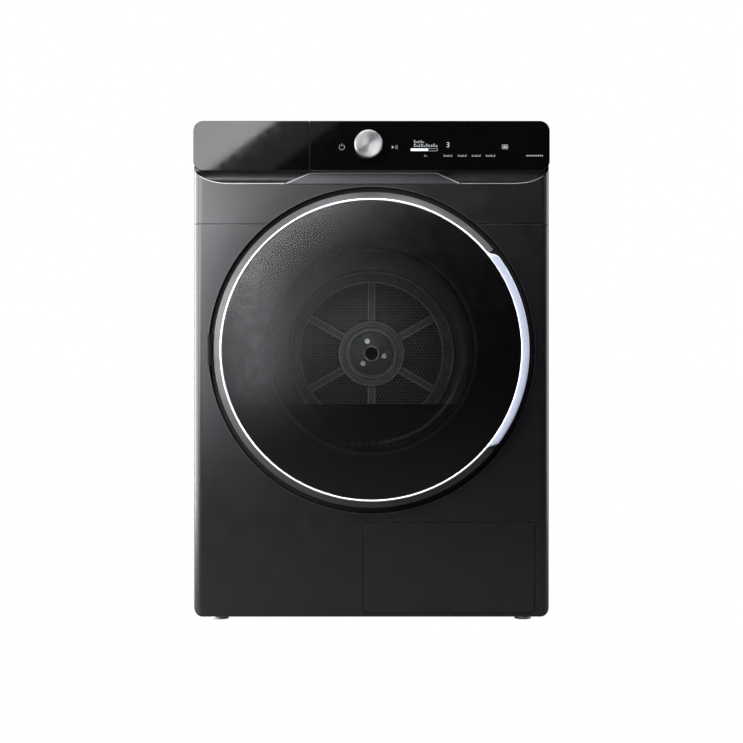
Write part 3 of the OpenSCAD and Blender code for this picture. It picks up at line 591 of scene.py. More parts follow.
def front_panels():
    """The lower and the upper front sheet, and the lugs that carry the flap."""
    lower = round_box(-HALF_W - HAIR, BOTTOM_Z, HALF_W + HAIR, SEAM_TOP, (BOTTOM_R, BOTTOM_R, TINY_R, TINY_R), 12)
    flap_cut = prism("tool", flap_outline(1.0 * MM), FRONT_Y - PAST, FRONT_Y + PAST)
    front_sheet("front_lower_skin", lower, [recess_tool(), flap_cut], "front_panel_lower")
    upper = [(-HALF_W - HAIR, SEAM_Z + 0.5 * MM), (HALF_W + HAIR, SEAM_Z + 0.5 * MM)] + rim_curve()
    notch = prism("tool", tongue_outline(0.6 * MM), FRONT_Y - PAST, FRONT_Y + PAST)
    front_sheet("front_upper_skin", upper, [recess_tool(), notch], "front_panel_upper")
    for side in (-1, 1):
        x = FLAP[0].x + 2 * MM if side < 0 else FLAP[1].x - 2 * MM
        lug = round_box(FRONT_Y + SKIN, 17 * MM, FRONT_Y + 12 * MM, 33 * MM, (TINY_R, 4 * MM, 4 * MM, TINY_R), 6)
        mesh = prism("flap_lug", lug, x - 3 * MM, x + 3 * MM, "x")
        obj = add_object("flap_lug_left" if side < 0 else "flap_lug_right", mesh, "cabinet", "graphite_paint")
        dress(soften(obj, 0.4 * MM, 2), PAINT)


def flap_panel():
    """The access flap: a plate with two ears on its back, each carrying a hinge pin."""
    low, high = FLAP
    axis = joint_at("flap_open")
    pieces = [prism("plate", flap_outline(), FRONT_Y, FRONT_Y + 2.6 * MM)]
    for side in (-1, 1):
        x0 = -10 * MM if side < 0 else 264 * MM
        ear = round_box(FRONT_Y + 2.4 * MM, axis.z - 4 * MM, axis.y + 3.5 * MM, axis.z + 4 * MM,
                        (TINY_R, 2 * MM, 2 * MM, TINY_R), 5)
        pieces.append(prism("ear", ear, x0, x0 + 6 * MM, "x"))
        p0, p1 = (low.x, x0 + 5 * MM) if side < 0 else (x0 + 1 * MM, high.x)
        pieces.append(prism("pin", circle(axis.y, axis.z, 2.5 * MM), p0, p1, "x"))
    obj = add_object("flap_plate", join_meshes("flap", pieces), "flap", "graphite_paint", "flap")
    dress(soften(obj, 0.5 * MM, 2), PAINT)


front_panels()
flap_panel()


# ---------------------------------------------------------------- control panel
CORNER_LOW = 16 * MM
CORNER_TOP = 17 * MM
PANEL_LOW, PANEL_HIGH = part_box("control_glass")
DRAWER_LOW, DRAWER_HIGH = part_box("drawer_glass")
SHARP = 0.6 * MM


def glass_fronts():
    """The two glass fronts: each has its outer corners round and its seam side square."""
    right = round_box(PANEL_LOW.x - 0.3 * MM, PANEL_LOW.z, PANEL_HIGH.x, PANEL_HIGH.z,
                      (SHARP, CORNER_LOW, CORNER_TOP, SHARP), 14)
    obj = add_object("control_glass_front", prism("glass", right, PANEL_LOW.y, PANEL_HIGH.y),
                     "cabinet", "black_glass", "control_glass")
    shaft_r = 8.5 * MM
    cut(obj, tube("tool", 0, shaft_r, -0.4, -0.2, 64, (DIAL.x, DIAL.z)))
    dress(soften(obj, 0.7 * MM, 3), PANEL_GLASS)
    left = round_box(DRAWER_LOW.x, DRAWER_LOW.z, DRAWER_HIGH.x + 0.3 * MM, DRAWER_HIGH.z,
                     (CORNER_LOW, SHARP, SHARP, CORNER_TOP), 14)
    obj = add_object("drawer_glass_front", prism("glass", left, DRAWER_LOW.y, DRAWER_HIGH.y),
                     "drawer", "black_glass", "drawer_glass")
    dress(soften(obj, 0.7 * MM, 3), PANEL_GLASS)


def tongue():
    """The raised tongue between the grips, in a lighter paint and with a light strip along its sides and top, both
    painted highlight.
    """
    obj = add_object("tongue_cover", prism("tongue", tongue_outline(), TONGUE[0].y, TONGUE[1].y),
                     "cabinet", "grey_trim", "centre_tongue")
    soften(obj, 1.2 * MM, 2, 20)
    dress(obj, HIGHLIGHT_PAINT)
    (x0, z0), (x1, _), (x2, z2), (x3, _) = tongue_outline()
    # A light strip along the sides and top: painted highlight.
    line = [(x0, z0 + 0.6 * MM), (x3, z2 - 0.8 * MM), (x2, z2 - 0.8 * MM), (x1, z0 + 0.6 * MM)]
    add_object("tongue_edge_highlight", band("bevel", line, 1.5 * MM, TONGUE[0].y + PROUD, TONGUE[0].y + 1.4 * MM),
               "cabinet", "grey_trim", material=EDGE_HIGHLIGHT)


def band(name, line, width, y0, y1):
    """A narrow strip that follows a line across the front."""
    left, right = [], []
    for i, (x, z) in enumerate(line):
        a, b = line[max(i - 1, 0)], line[min(i + 1, len(line) - 1)]
        dx, dz = b[0] - a[0], b[1] - a[1]
        size = math.hypot(dx, dz)
        nx, nz = -dz / size * width / 2, dx / size * width / 2
        left.append((x + nx, z + nz))
        right.append((x - nx, z - nz))
    verts, faces, n = [], [], len(line)
    for y in (y0, y1):
        verts += [(x, y, z) for x, z in left] + [(x, y, z) for x, z in right]
    for i in range(n - 1):
        faces += [(i, i + 1, n + i + 1, n + i), (2 * n + i, 3 * n + i, 3 * n + i + 1, 2 * n + i + 1),
                  (i, 2 * n + i, 2 * n + i + 1, i + 1), (n + i, n + i + 1, 3 * n + i + 1, 3 * n + i)]
    for i in (0, n - 1):
        faces.append((i, n + i, 3 * n + i, 2 * n + i))
    return mesh_from(name, verts, faces)


def rim_highlights():
    """Light strips along the upper front sheet's top edge beside the tongue, and along the seam on the right: painted
    highlight where the edges catch light.
    """
    curve = rim_curve(-0.5 * MM)
    half = len(curve) // 2
    reach = HALF_W - EDGE_R * 0.55
    low, high = tongue_outline(0.8 * MM)[0][0], tongue_outline(0.8 * MM)[1][0]
    right = [(x, z) for x, z in curve[:half] if x < reach] + [(high, RIM_Z - 0.5 * MM)]
    left = [(low, RIM_Z - 0.5 * MM)] + [(x, z) for x, z in curve[half:] if x > -reach]
    seam = SEAM_TOP - 0.4 * MM
    start = math.sqrt(RECESS_R ** 2 - (seam - CENTRE_Z) ** 2) + 2 * MM
    for name, line, width, material in (
            ("rim_highlight_right", right, 1.0 * MM, EDGE_HIGHLIGHT), ("rim_highlight_left", left, 1.3 * MM, EDGE_HIGHLIGHT),
            ("seam_highlight_right", [(start, seam), (reach, seam)], 0.6 * MM, HIGHLIGHT_PAINT)):
        add_object(name, band(name, line, width, FRONT_Y - PROUD, FRONT_Y + 0.8 * MM),
                   "cabinet", "grey_trim", material=material)


def dial():
    """Dial: dark fluted skirt, a polished chamfer and a spun face, dished a little."""
    low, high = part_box("dial")
    front, back = low.y, GLASS_Y - 0.4 * MM
    r = DIAL_R
    centre = (0.0, 0.0)
    profile = mm(r, front, (-3, 2.4), (-0.6, 2.4), (-0.1, 3.2)) + mm(r, back, (0, -2), (-1.2, 0), (-6, 0))
    side = turned("dial_side", profile, 192, centre)
    flutes(side, r - 0.35 * MM, front + 3.4 * MM, back - 1.2 * MM, 96, 0.35 * MM)
    shaft = tube("dial_shaft", 0, 7 * MM, back - 1 * MM, high.y, 48, centre)
    place = (DIAL.x, DIAL.z)
    add_object("dial_skirt", join_meshes("dial_skirt", [side, shaft]), "dial", "dial_metal", "dial",
               origin=place, material=DIAL_SIDE, angle=30)
    profile = [(r * part, front + y * MM) for part, y in ((0, 0.9), (0.35, 0.75), (0.7, 0.45))]
    profile += mm(r, front, (-2.2, 0), (-1.4, 0.1), (-0.5, 1.0), (-0.5, 2.4)) + mm(0, front, (0, 2.4))
    face = turned("dial_face", profile, 192, centre, closed=False)
    add_object("dial_face", face, "dial", "dial_metal", origin=place, material=SPUN, angle=40)


def flutes(mesh, radius, y0, y1, count, depth):
    """Presses shallow flutes into the part of a turned mesh that lies beyond a radius."""
    for v in mesh.vertices:
        r = math.hypot(v.co.x, v.co.z)
        if r > radius and y0 - 1e-6 <= v.co.y <= y1 + 1e-6:
            a = math.atan2(v.co.z, v.co.x)
            k = 1 - depth * (0.5 - 0.5 * math.cos(count * a)) / r
            v.co.x *= k
            v.co.z *= k


def mark(name, shapes, material):
    """Flat printed marks on the glass, as thin plates."""
    face = PANEL_LOW.y
    plates = [prism("mark", shape, face - 0.06 * MM, face + 0.02 * MM) for shape in shapes]
    add_object(name, join_meshes(name, plates), "cabinet", "black_glass", material=material)


def bar_shape(x, z, w, h):
    return [(x, z), (x + w, z), (x + w, z + h), (x, z + h)]


def ring_shapes(x, z, r, w, a0, a1, steps):
    """An arc line, as short flat pieces."""
    ends = [a0 + (a1 - a0) * i / steps for i in range(steps + 1)]
    return [[polar(x, z, r + w, b0), polar(x, z, r + w, b1), polar(x, z, r, b1), polar(x, z, r, b0)]
            for b0, b1 in zip(ends, ends[1:])]


def digit_three(x, z, w, h, t):
    """The figure 3, from straight strokes."""
    return [
        bar_shape(x, z + h - t, w, t), bar_shape(x + w * 0.2, z + h / 2 - t / 2, w * 0.8, t),
        bar_shape(x, z, w, t), bar_shape(x + w - t, z, t, h),
    ]


def block_row(x, z, w, h, count):
    """A row of small plain blocks that stands for a line of small print."""
    step = w / count
    out = []
    for i in range(count):
        tall = h * (0.75 + 0.25 * math.cos(i * 2.4))
        out.append(bar_shape(x + i * step, z, step * 0.72, tall * 0.28))
        out.append(bar_shape(x + i * step, z + tall * 0.72, step * 0.72, tall * 0.28))
        out.append(bar_shape(x + i * step + step * 0.26 * (i % 2), z, step * 0.26, tall))
    return out


def bars(x, z, *rows):
    """Upright rectangles, each given in millimetres from a place: across, up, width and height."""
    return [bar_shape(x + a * MM, z + b * MM, w * MM, h * MM) for a, b, w, h in rows]


def display():
    """Icons and display marks, placed from the dial outwards. The words stand a little below its middle."""
    z, lower = DIAL.z, 3.3 * MM
    power_x, play_x = DIAL.x - 44.5 * MM, DIAL.x + 43.5 * MM
    power = ring_shapes(power_x, z - 3 * MM, 4.2 * MM, 0.55 * MM, 125, 415, 22)
    mark("power_icon", power + bars(power_x, z, (-0.3, -1.6, 0.6, 4.4)), FAINT_MARK)
    play = [mm(play_x, z, (-4.6, -5.8), (-0.2, -3), (-4.6, -0.2))]
    mark("start_icon", play + bars(play_x, z, (2.0, -6.4, 0.7, 6.8), (4.2, -6.4, 0.7, 6.8)), DIM_MARK)
    z -= lower
    left = DIAL.x + 74.5 * MM
    words = block_row(left + 1.5 * MM, z + 7.2 * MM, 18 * MM, 4.6 * MM, 5)
    words += block_row(left + 1.5 * MM, z + 0.6 * MM, 40 * MM, 5.2 * MM, 10)
    mark("display_words", words, FAINT_MARK)
    mark("display_bar", bars(left, z, (-4, -6.2, 29, 4.2)), MARK)
    mark("display_rest", bars(left, z, (25, -2.5, 16, 0.5), (25, -6.2, 16, 0.5), (40.5, -6.2, 0.5, 4.2)), FAINT_MARK)
    mark("display_digit", digit_three(left + 56 * MM, z + 0.4 * MM, 4.0 * MM, 7.8 * MM, 0.6 * MM), MARK)
    small = block_row(left + 18.5 * MM, z - 15.5 * MM, 5.5 * MM, 2.8 * MM, 2)
    for x, w in ((51, 15), (75, 15), (98.5, 15), (122, 16)):
        small += block_row(left + x * MM, z - 15.5 * MM, w * MM, 3.2 * MM, 6)
    mark("option_words", small, FAINT_MARK)
    link = bars(left + 148.5 * MM, z - 3 * MM, (0, 6.6, 10, 0.8), (0, 0, 10, 0.8), (0, 0, 0.8, 7.4),
                (9.2, 0, 0.8, 7.4), (2.4, 2, 5.2, 3.2))
    mark("remote_icon", link, FAINT_MARK)
    dots = [bar_shape(left + (189.5 + 3.2 * i) * MM, z - 15 * MM, 2.0 * MM, 2.0 * MM) for i in range(9)]
    mark("status_dots", dots, FAINT_MARK)


def recess_highlight():
    """A light ring where the front sheets turn into the door's recess, open at the seam: painted highlight on that
    edge.
    """
    y0, y1 = FRONT_Y - PROUD, FRONT_Y + 0.8 * MM
    r0, r1 = RECESS_R + 0.1 * MM, RECESS_R + 1.1 * MM
    obj = add_object("recess_highlight", tube("edge", r0, r1, y0, y1, 360), "cabinet", "grey_trim")
    gap = bar_shape(-HALF_W, SEAM_Z - 0.8 * MM, 2 * HALF_W, 1.6 * MM)
    cut(obj, prism("tool", gap, y0 - 1 * MM, y1 + 1 * MM))
    dress(obj, HIGHLIGHT_PAINT)


glass_fronts()
tongue()
rim_highlights()
recess_highlight()
dial()
display()


# ---------------------------------------------------------------- door
BACK_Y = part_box("door_back_frame")[1].y
DOME_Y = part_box("door_glass")[0].y
EDGE_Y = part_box("door_glass")[1].y - 4 * MM
BOWL_END_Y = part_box("door_bowl")[1].y
BOWL_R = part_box("door_bowl")[1].x
LEAF_HALF = 27 * MM                    # half the height of the hinge's leaf
HANDLE_HALF, HANDLE_SOFT = 40.5, 4.5   # degrees from the handle's middle to its end, and of the S there


def door_pane():
    """Domed glass with a ground edge, over a printed black border."""
    def dome(r):
        return DOME_Y + (EDGE_Y - DOME_Y) * (r / GLASS_R) ** 2

    count = 28
    front = [(GLASS_R * i / count, dome(GLASS_R * i / count)) for i in range(count)]
    edge = [(r, dome(r)) for r in (GLASS_R - 1.2 * MM, GLASS_R - 0.6 * MM)]
    edge += [(GLASS_R, dome(GLASS_R) + 0.6 * MM), (GLASS_R, dome(GLASS_R) + 1.4 * MM)]
    add_object("door_outer_glass", turned("pane", front + edge, 360, closed=False),
               "door", "door_glass", "door_glass", material=DOOR_PANE, angle=50)
    inner = 176 * MM
    border = [(inner, dome(inner) + 1.6 * MM), (GLASS_R * 0.85, dome(GLASS_R * 0.85) + 1.6 * MM),
              (GLASS_R - 0.2 * MM, dome(GLASS_R) + 1.6 * MM), (GLASS_R - 0.2 * MM, dome(GLASS_R) + 3.6 * MM),
              (inner, dome(inner) + 3.6 * MM)]
    add_object("door_glass_border", turned("border", border, 256), "door", "black_plastic", material=MASK, angle=40)


def handle_reach(angle):
    """How far out the trim stands: 0 on the plain ring, 1 on the handle, with an S between."""
    k = min(1.0, max(0.0, (HANDLE_HALF - abs(angle)) / HANDLE_SOFT))
    return k * k * (3 - 2 * k)


def door_trim():
    """Bright ring with its handle: the section widens outwards over the right-hand side."""
    steps = 720
    inner, outer, wide_r = GLASS_R + 0.3 * MM, GLASS_R + 3.4 * MM, DOOR_R - 1 * MM
    verts, faces = [], []
    for i in range(steps):
        a = 2 * math.pi * i / steps
        deg = (math.degrees(a) + 180) % 360 - 180
        k = handle_reach(deg)
        r1 = outer + (wide_r - outer) * k
        drop = 1.2 * MM + 2.4 * MM * k
        back = RIM_Y + 12 * MM + 9 * MM * k
        points = [
            (inner, RIM_Y + 6 * MM), (inner, RIM_Y + 1.2 * MM), (inner + 0.5 * MM, RIM_Y + 0.4 * MM),
            (inner + 1.4 * MM, RIM_Y)]
        mid = inner + 1.5 * MM + (r1 - inner - 4.5 * MM) * k
        for j in range(8):
            turn = j / 7 * math.pi / 2
            points.append((mid + (r1 - mid) * math.sin(turn), RIM_Y + drop * (1 - math.cos(turn))))
        points += [(r1, back - 1 * MM), (r1 - 1 * MM, back), (inner + 1 * MM, RIM_Y + 12 * MM)]
        verts += [(r * math.cos(a), y, CENTRE_Z + r * math.sin(a)) for r, y in points]
        section = len(points)
    for i in range(steps):
        p, q = i * section, ((i + 1) % steps) * section
        for j in range(section):
            k = (j + 1) % section
            faces.append((p + j, p + k, q + k, q + j))
    obj = add_object("door_bright_ring", mesh_from("trim", verts, faces), "door", "chrome_trim", "door_trim",
                     material=CHROME, angle=50)
    obj.data.materials.append(MASK)
    obj.data.materials.append(SATIN)
    for face in obj.data.polygons:
        r = from_axis(face.center.x, face.center.z)
        if r < inner + 0.1 * MM and abs(face.normal.y) < 0.5:
            face.material_index = 1
        elif r > outer + 0.5 * MM:
            face.material_index = 2


def door_side_ring():
    """The grey ring outside the trim, cut away behind the handle and at the hinge."""
    r0, r1 = GLASS_R + 3.7 * MM, DOOR_R
    top = -301 * MM
    profile = mm(r0, RIM_Y, (0, 5)) + mm(r1, top, (-2.2, -0.6), (-0.8, 0.2), (0, 1.6))
    profile += mm(r1, BACK_Y, (0, 0), (-4, 0)) + mm(r1, top, (-4, 5)) + mm(r0, RIM_Y, (0, 9))
    obj = add_object("door_grey_ring", turned("ring", profile, 360), "door", "grey_trim", "door_ring")
    far = 0.36
    for half, y0, y1 in ((39.6, -0.33, -0.2906), (30.0, -0.291, -0.270)):   # degrees either way, and from Y to Y
        side = far * math.tan(math.radians(half))
        cut(obj, prism("tool", [(0, CENTRE_Z), (far, CENTRE_Z - side), (far, CENTRE_Z + side)], y0, y1))
    hinge = joint_at("door_swing")
    leaf = round_box(-0.2735, CENTRE_Z - LEAF_HALF, -0.2345, CENTRE_Z + LEAF_HALF, [TINY_R] * 4, 2)
    cut(obj, prism("tool", leaf, hinge.y - 3 * MM, hinge.y + 2.2 * MM))
    knuckle = circle(hinge.x, hinge.y, 4.8 * MM)
    cut(obj, prism("tool", knuckle, CENTRE_Z - LEAF_HALF, CENTRE_Z + LEAF_HALF, "z"))
    dress(smooth(obj, 35), TRIM_PAINT)


def door_seal():
    """Rubber lip between the door's back and the cabinet's throat."""
    profile = mm(0, BACK_Y, (183, 0), (184, 2.0), (187, 4.6), (190, 5.3), (193, 4.6), (196, 2.2), (197, 0))
    add_object("door_seal", turned("seal", profile, 256), "door", "roller_rubber", material=RUBBER, angle=50)


def bowl():
    """Moulded inner glass bowl, its wall and floor joined by a round corner."""
    y0, r = BOWL_END_Y, BOWL_R
    outer = mm(r, 0, (0, -290), (0, -264), (-1.5, -258), (-6, -251), (-12, -247.4)) + mm(r, y0, (-20, 0))
    outer += [(0, y0), (0, y0 - 3.5 * MM)]
    inner = mm(r, y0, (-21, -3.5), (-14, -5)) + mm(r, 0, (-8, -255), (-4.4, -261), (-3.5, -266), (-3.5, -290))
    add_object("door_inner_bowl", turned("bowl", outer + inner, 256), "door", "bowl_glass", "door_bowl",
               material=BOWL_PANE, angle=50)


door_pane()
door_trim()
door_side_ring()
door_seal()
bowl()


# ---------------------------------------------------------------- drum
DRUM_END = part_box("drum_screen")[0].y
SPIDER_FRONT = DRUM_END - 12 * MM
RING_IN, RING_OUT, HUB_R = 142 * MM, 168 * MM, 67 * MM
HUB_FACE_R = 43 * MM   # the black middle of the hub


def box_mesh(name, low, high):
    """A plain box."""
    return prism(name, [(low[0], low[2]), (high[0], low[2]), (high[0], high[2]), (low[0], high[2])],
                 low[1], high[1])


def spun_about_axis(mesh, degrees):
    """Turns a mesh about the drum's axis."""
    c, s = polar(0, 0, 1, degrees)
    for v in mesh.vertices:
        x, z = v.co.x, v.co.z - CENTRE_Z
        v.co.x, v.co.z = x * c - z * s, CENTRE_Z + x * s + z * c
    return mesh


def honeycomb(name, pitch, web, y0, y1, wanted, clip=None):
    """A sheet of six-sided holes, made one cell at a time where it is wanted."""
    outer, inner = pitch / math.sqrt(3), (pitch - web) / math.sqrt(3)
    corners = [polar(0, 0, 1, 60 * k + 30) for k in range(6)]
    verts, faces = [], []
    rows, cols = int(0.22 / (pitch * 0.866)), int(0.20 / pitch)
    for row in range(-rows, rows + 1):
        for col in range(-cols, cols + 1):
            x = pitch * (col + 0.5 * (row % 2))
            z = CENTRE_Z + row * pitch * math.sqrt(3) / 2
            if not wanted(x, z):
                continue
            base = len(verts)
            for size, y in ((outer, y0), (inner, y0), (inner, y1), (outer, y1)):
                for c, s in corners:
                    px, pz = x + size * c, z + size * s
                    if clip:
                        px, pz = min(max(px, clip[0]), clip[2]), min(max(pz, clip[1]), clip[3])
                    verts.append((px, y, pz))
            for k in range(6):
                n = (k + 1) % 6
                for ring in range(3):
                    a, b = base + 6 * ring, base + 6 * (ring + 1)
                    faces.append((a + k, a + n, b + n, b + k))
    return mesh_from(name, verts, faces)


def perforated_screen():
    """Back screen: a honeycomb of six-sided holes between two plain rings."""
    y0, y1 = DRUM_END + 0.1 * MM, DRUM_END + 1.0 * MM

    def wanted(x, z):
        return HUB_R - 4 * MM < from_axis(x, z) < RING_IN + 4 * MM

    cells = honeycomb("cells", 7.0 * MM, 2.4 * MM, y0, y1, wanted)
    hub = tube("hub", 14 * MM, HUB_R - 2 * MM, y0, y1, 128)
    rim = tube("rim", RING_IN + 2 * MM, 164.6 * MM, y0, y1, 192)
    add_object("drum_back_screen", join_meshes("screen", [cells, hub, rim]),
               "drum", "drum_steel", "drum_screen", material=SCREEN)


def drum_spider():
    """Moulded cross over the screen: ring, six bordered spokes and a grooved hub. The borders are beads in a much
    lighter plastic, a painted highlight along the edges.
    """
    y1, front = DRUM_END, SPIDER_FRONT
    ring = mm(RING_IN, y1, (0, 0), (0, -6.5), (1.2, -8), (4, -8), (5, -6.4))
    ring += mm(RING_OUT, y1, (-7, -6.4), (-6, -7.6), (-1.4, -7.2), (0, -5.6), (0, 0))
    hub = mm(0, y1, (12.4, 0)) + mm(0, front, (12.4, 1), (13, -3), (15.6, -3), (16.2, 0), (42, 0), (43, 2))
    hub += mm(0, front, (45.5, 2), (46.5, -0.1), (51.5, -0.1), (52.3, 2.2), (54.7, 2.2), (55.5, 0))
    hub += mm(HUB_R, front, (-1.4, 0), (0, 1.6)) + [(HUB_R, y1)]
    pieces = [turned("ring", ring, 192), turned("hub", hub, 160)]
    beads = [turned("bead", [(r, y), (r, y - 0.8 * MM), (r + w, y - 0.8 * MM), (r + w, y)], 160)
             for r, w, y in (
                 (RING_IN + 0.6 * MM, 3.2 * MM, y1 - 7.8 * MM), (RING_OUT - 5.0 * MM, 3.2 * MM, y1 - 7.0 * MM),
                 (HUB_R - 3.6 * MM, 2.2 * MM, front + 0.2 * MM), (47.4 * MM, 2.6 * MM, front + 0.1 * MM),
                 (13.4 * MM, 2.0 * MM, front - 2.8 * MM))]
    for degrees in range(30, 390, 60):
        for z0, z1, high, group in ((-7.5, 7.5, 5.4, pieces), (-7.5, -5.0, 7.2, beads), (5.0, 7.5, 7.2, beads)):
            arm = box_mesh("arm", (HUB_R - 3 * MM, y1 - high * MM, CENTRE_Z + z0 * MM),
                           (RING_IN + 2 * MM, y1 - 0.05 * MM, CENTRE_Z + z1 * MM))
            group.append(spun_about_axis(arm, degrees))
    obj = add_object("drum_back_spider", join_meshes("spider", pieces), "drum", "dark_plastic", "drum_back",
                     material=SPIDER, angle=30)
    obj.data.materials.append(BLACK)
    for face in obj.data.polygons:
        if from_axis(face.center.x, face.center.z) < HUB_FACE_R:
            face.material_index = 1
    # The beads in the lighter plastic: painted highlight.
    add_object("drum_back_bead_highlights", join_meshes("beads", beads), "drum", "dark_plastic", material=BEAD_HIGHLIGHT, angle=30)


def hub_screw_set():
    """Three screws that hold the spider's hub."""
    profile = mm(0, SPIDER_FRONT, (0, -1.6), (2.4, -1.8), (2.5, -4), (4.4, -4), (5.4, -3.2), (5.5, -0.02))
    profile += mm(0, SPIDER_FRONT, (3.0, -0.02)) + mm(0, DRUM_END, (3.0, 6), (2.2, 6.5), (0, 6.5))
    pieces = [turned("screw", profile, 36, polar(0, CENTRE_Z, 26 * MM, degrees), closed=False)
              for degrees in (109, 229, 349)]
    add_object("drum_hub_screws", join_meshes("screws", pieces), "drum", "zinc_steel", "hub_screws",
               material=ZINC, angle=35)


def drum_sheet():
    """Drum shell with rolled corners at its mouth and two swages round it."""
    low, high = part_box("drum_shell")
    r, t = high.x, 1.5 * MM
    y0, neck_y, y1 = low.y + 13 * MM, low.y, high.y
    mouth = 205 * MM

    def side(off):
        out = [(mouth + off, neck_y + (0.3 * MM if off else 0)), (mouth + off, y0 - 1.5 * MM)]
        if off:
            out += [(mouth + off + 1.5 * MM, y0)]
            out += arc(r - 6 * MM, y0 + 6 * MM, 6 * MM, 270, 360, 6)
        else:
            out += [(mouth + 2 * MM, y0 + t)]
            out += arc(r - 6 * MM, y0 + 6 * MM, 4.5 * MM, 270, 360, 6)
        base = r if off else r - t
        for y in (y0 + 95 * MM, y1 - 95 * MM):
            out += mm(base, y, (0, -7), (-2.4, -3), (-2.4, 3), (0, 7))
        return out + [(base, y1 - (0 if off else t))]

    outside = side(t) + [(165 * MM, y1), (165 * MM, y1 - t)]
    inside = list(reversed(side(0.0)))
    add_object("drum_sheet", turned("drum", outside + inside, 256), "drum", "drum_steel", "drum_shell",
               material=DRUM, angle=40)


def lifters():
    """Three paddles with round crests, the edges of their feet bevelled."""
    low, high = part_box("drum_lifters")
    inner = 281.3 * MM
    half = math.degrees(math.asin(34 * MM / inner))
    pieces = []
    for degrees in (90, 210, 330):
        crest = [(474 * MM - x, z) for x, z in arc(237 * MM, 0, 10 * MM, 60, 300, 12)]
        shape = arc(0, 0, inner, -half, half, 8) + [(252 * MM, 17 * MM)]
        shape += [(222 * MM, 17 * MM)] + crest + [(252 * MM, -17 * MM)]
        mesh = prism("lifter", [(x, CENTRE_Z + z) for x, z in shape], low.y, high.y)
        pieces.append(spun_about_axis(mesh, degrees))
    obj = add_object("drum_paddles", join_meshes("paddles", pieces), "drum", "drum_steel", "drum_lifters")
    dress(soften(obj, 2.5 * MM, 3, 50), PADDLE)


perforated_screen()
drum_spider()
hub_screw_set()
drum_sheet()
lifters()


# ---------------------------------------------------------------- lint filter
def filter_mesh():
    """Fine mesh across the lint filter's window."""
    low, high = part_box("lint_filter")
    y = (low.y + high.y) / 2
    x0, z0, z1 = 100 * MM, 275 * MM, 347 * MM

    def wanted(x, z):
        inside = abs(x) < x0 + 2 * MM and z0 - 2 * MM < z < z1 + 2 * MM
        return inside and from_axis(x, z) < 179 * MM

    mesh = honeycomb("mesh", 3.6 * MM, 1.0 * MM, y - 0.3 * MM, y + 0.3 * MM, wanted, (-x0, z0, x0, z1))
    add_object("lint_mesh", mesh, "filter", "grey_plastic", material=BLACK)


# ---------------------------------------------------------------- cabinet
REAR_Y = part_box("rear_panel")[1].y
SHEET = 1.2 * MM


def folded_side(name, side, node):
    """Side sheet with its four flanges turned in; the front one stops at the drawer."""
    low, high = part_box(node)
    inner, reach, flange_z = HALF_W - SHEET, 2 * MM, 732 * MM
    obj = add_object(name, box_mesh(name, low, high), "cabinet", "graphite_paint", node)
    a, b = (low.x - reach, inner) if side > 0 else (-inner, high.x + reach)
    cut(obj, box_mesh("tool", (a, low.y + SHEET, low.z + SHEET), (b, high.y - SHEET, high.z - SHEET)))
    cut(obj, box_mesh("tool", (a, low.y - reach, flange_z), (b, low.y + reach, high.z - SHEET)))
    soften(obj, 0.5 * MM, 3)
    dress(obj, PAINT)


def top_sheet():
    """The top, a shallow lid with round upper corners at the sides."""
    low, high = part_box("top_cover")
    outline = round_box(low.x, low.z, high.x, high.z, (SHARP, SHARP, CORNER_TOP, CORNER_TOP), 12)
    obj = add_object("top_sheet", prism("top", outline, low.y, high.y), "cabinet", "graphite_paint", "top_cover")
    wall = 2 * MM
    r = CORNER_TOP - wall
    inside = round_box(low.x + wall, low.z - wall, high.x - wall, high.z - wall, (SHARP, SHARP, r, r), 12)
    cut(obj, prism("tool", inside, low.y + wall, high.y - wall))
    soften(obj, 0.8 * MM, 3, 50)
    dress(obj, PAINT)


def vent_sector(degrees):
    """Outline of a quarter of the ring of vents behind the drum."""
    r0, r1, edge = 72 * MM, 155 * MM, 8 * MM
    a0, a1 = math.degrees(math.asin(edge / r1)), math.degrees(math.acos(edge / r1))
    b0, b1 = math.degrees(math.asin(edge / r0)), math.degrees(math.acos(edge / r0))
    outline = arc(0, 0, r1, a0 + degrees, a1 + degrees, 20) + arc(0, 0, r0, b1 + degrees, b0 + degrees, 14)
    return [(x, z + CENTRE_Z) for x, z in outline]


def screw_head(x, z):
    """Pan head on the rear sheet, facing back."""
    r, tall, y = 3.9 * MM, 2.1 * MM, REAR_Y
    profile = [(r * a, y + tall * b) for a, b in ((0, 1), (0.5, 0.94), (0.85, 0.6), (1, 0.15))]
    profile += [(r, y - 0.3 * MM), (0, y - 0.3 * MM)]
    return turned("screw", profile, 28, (x, z), closed=False)


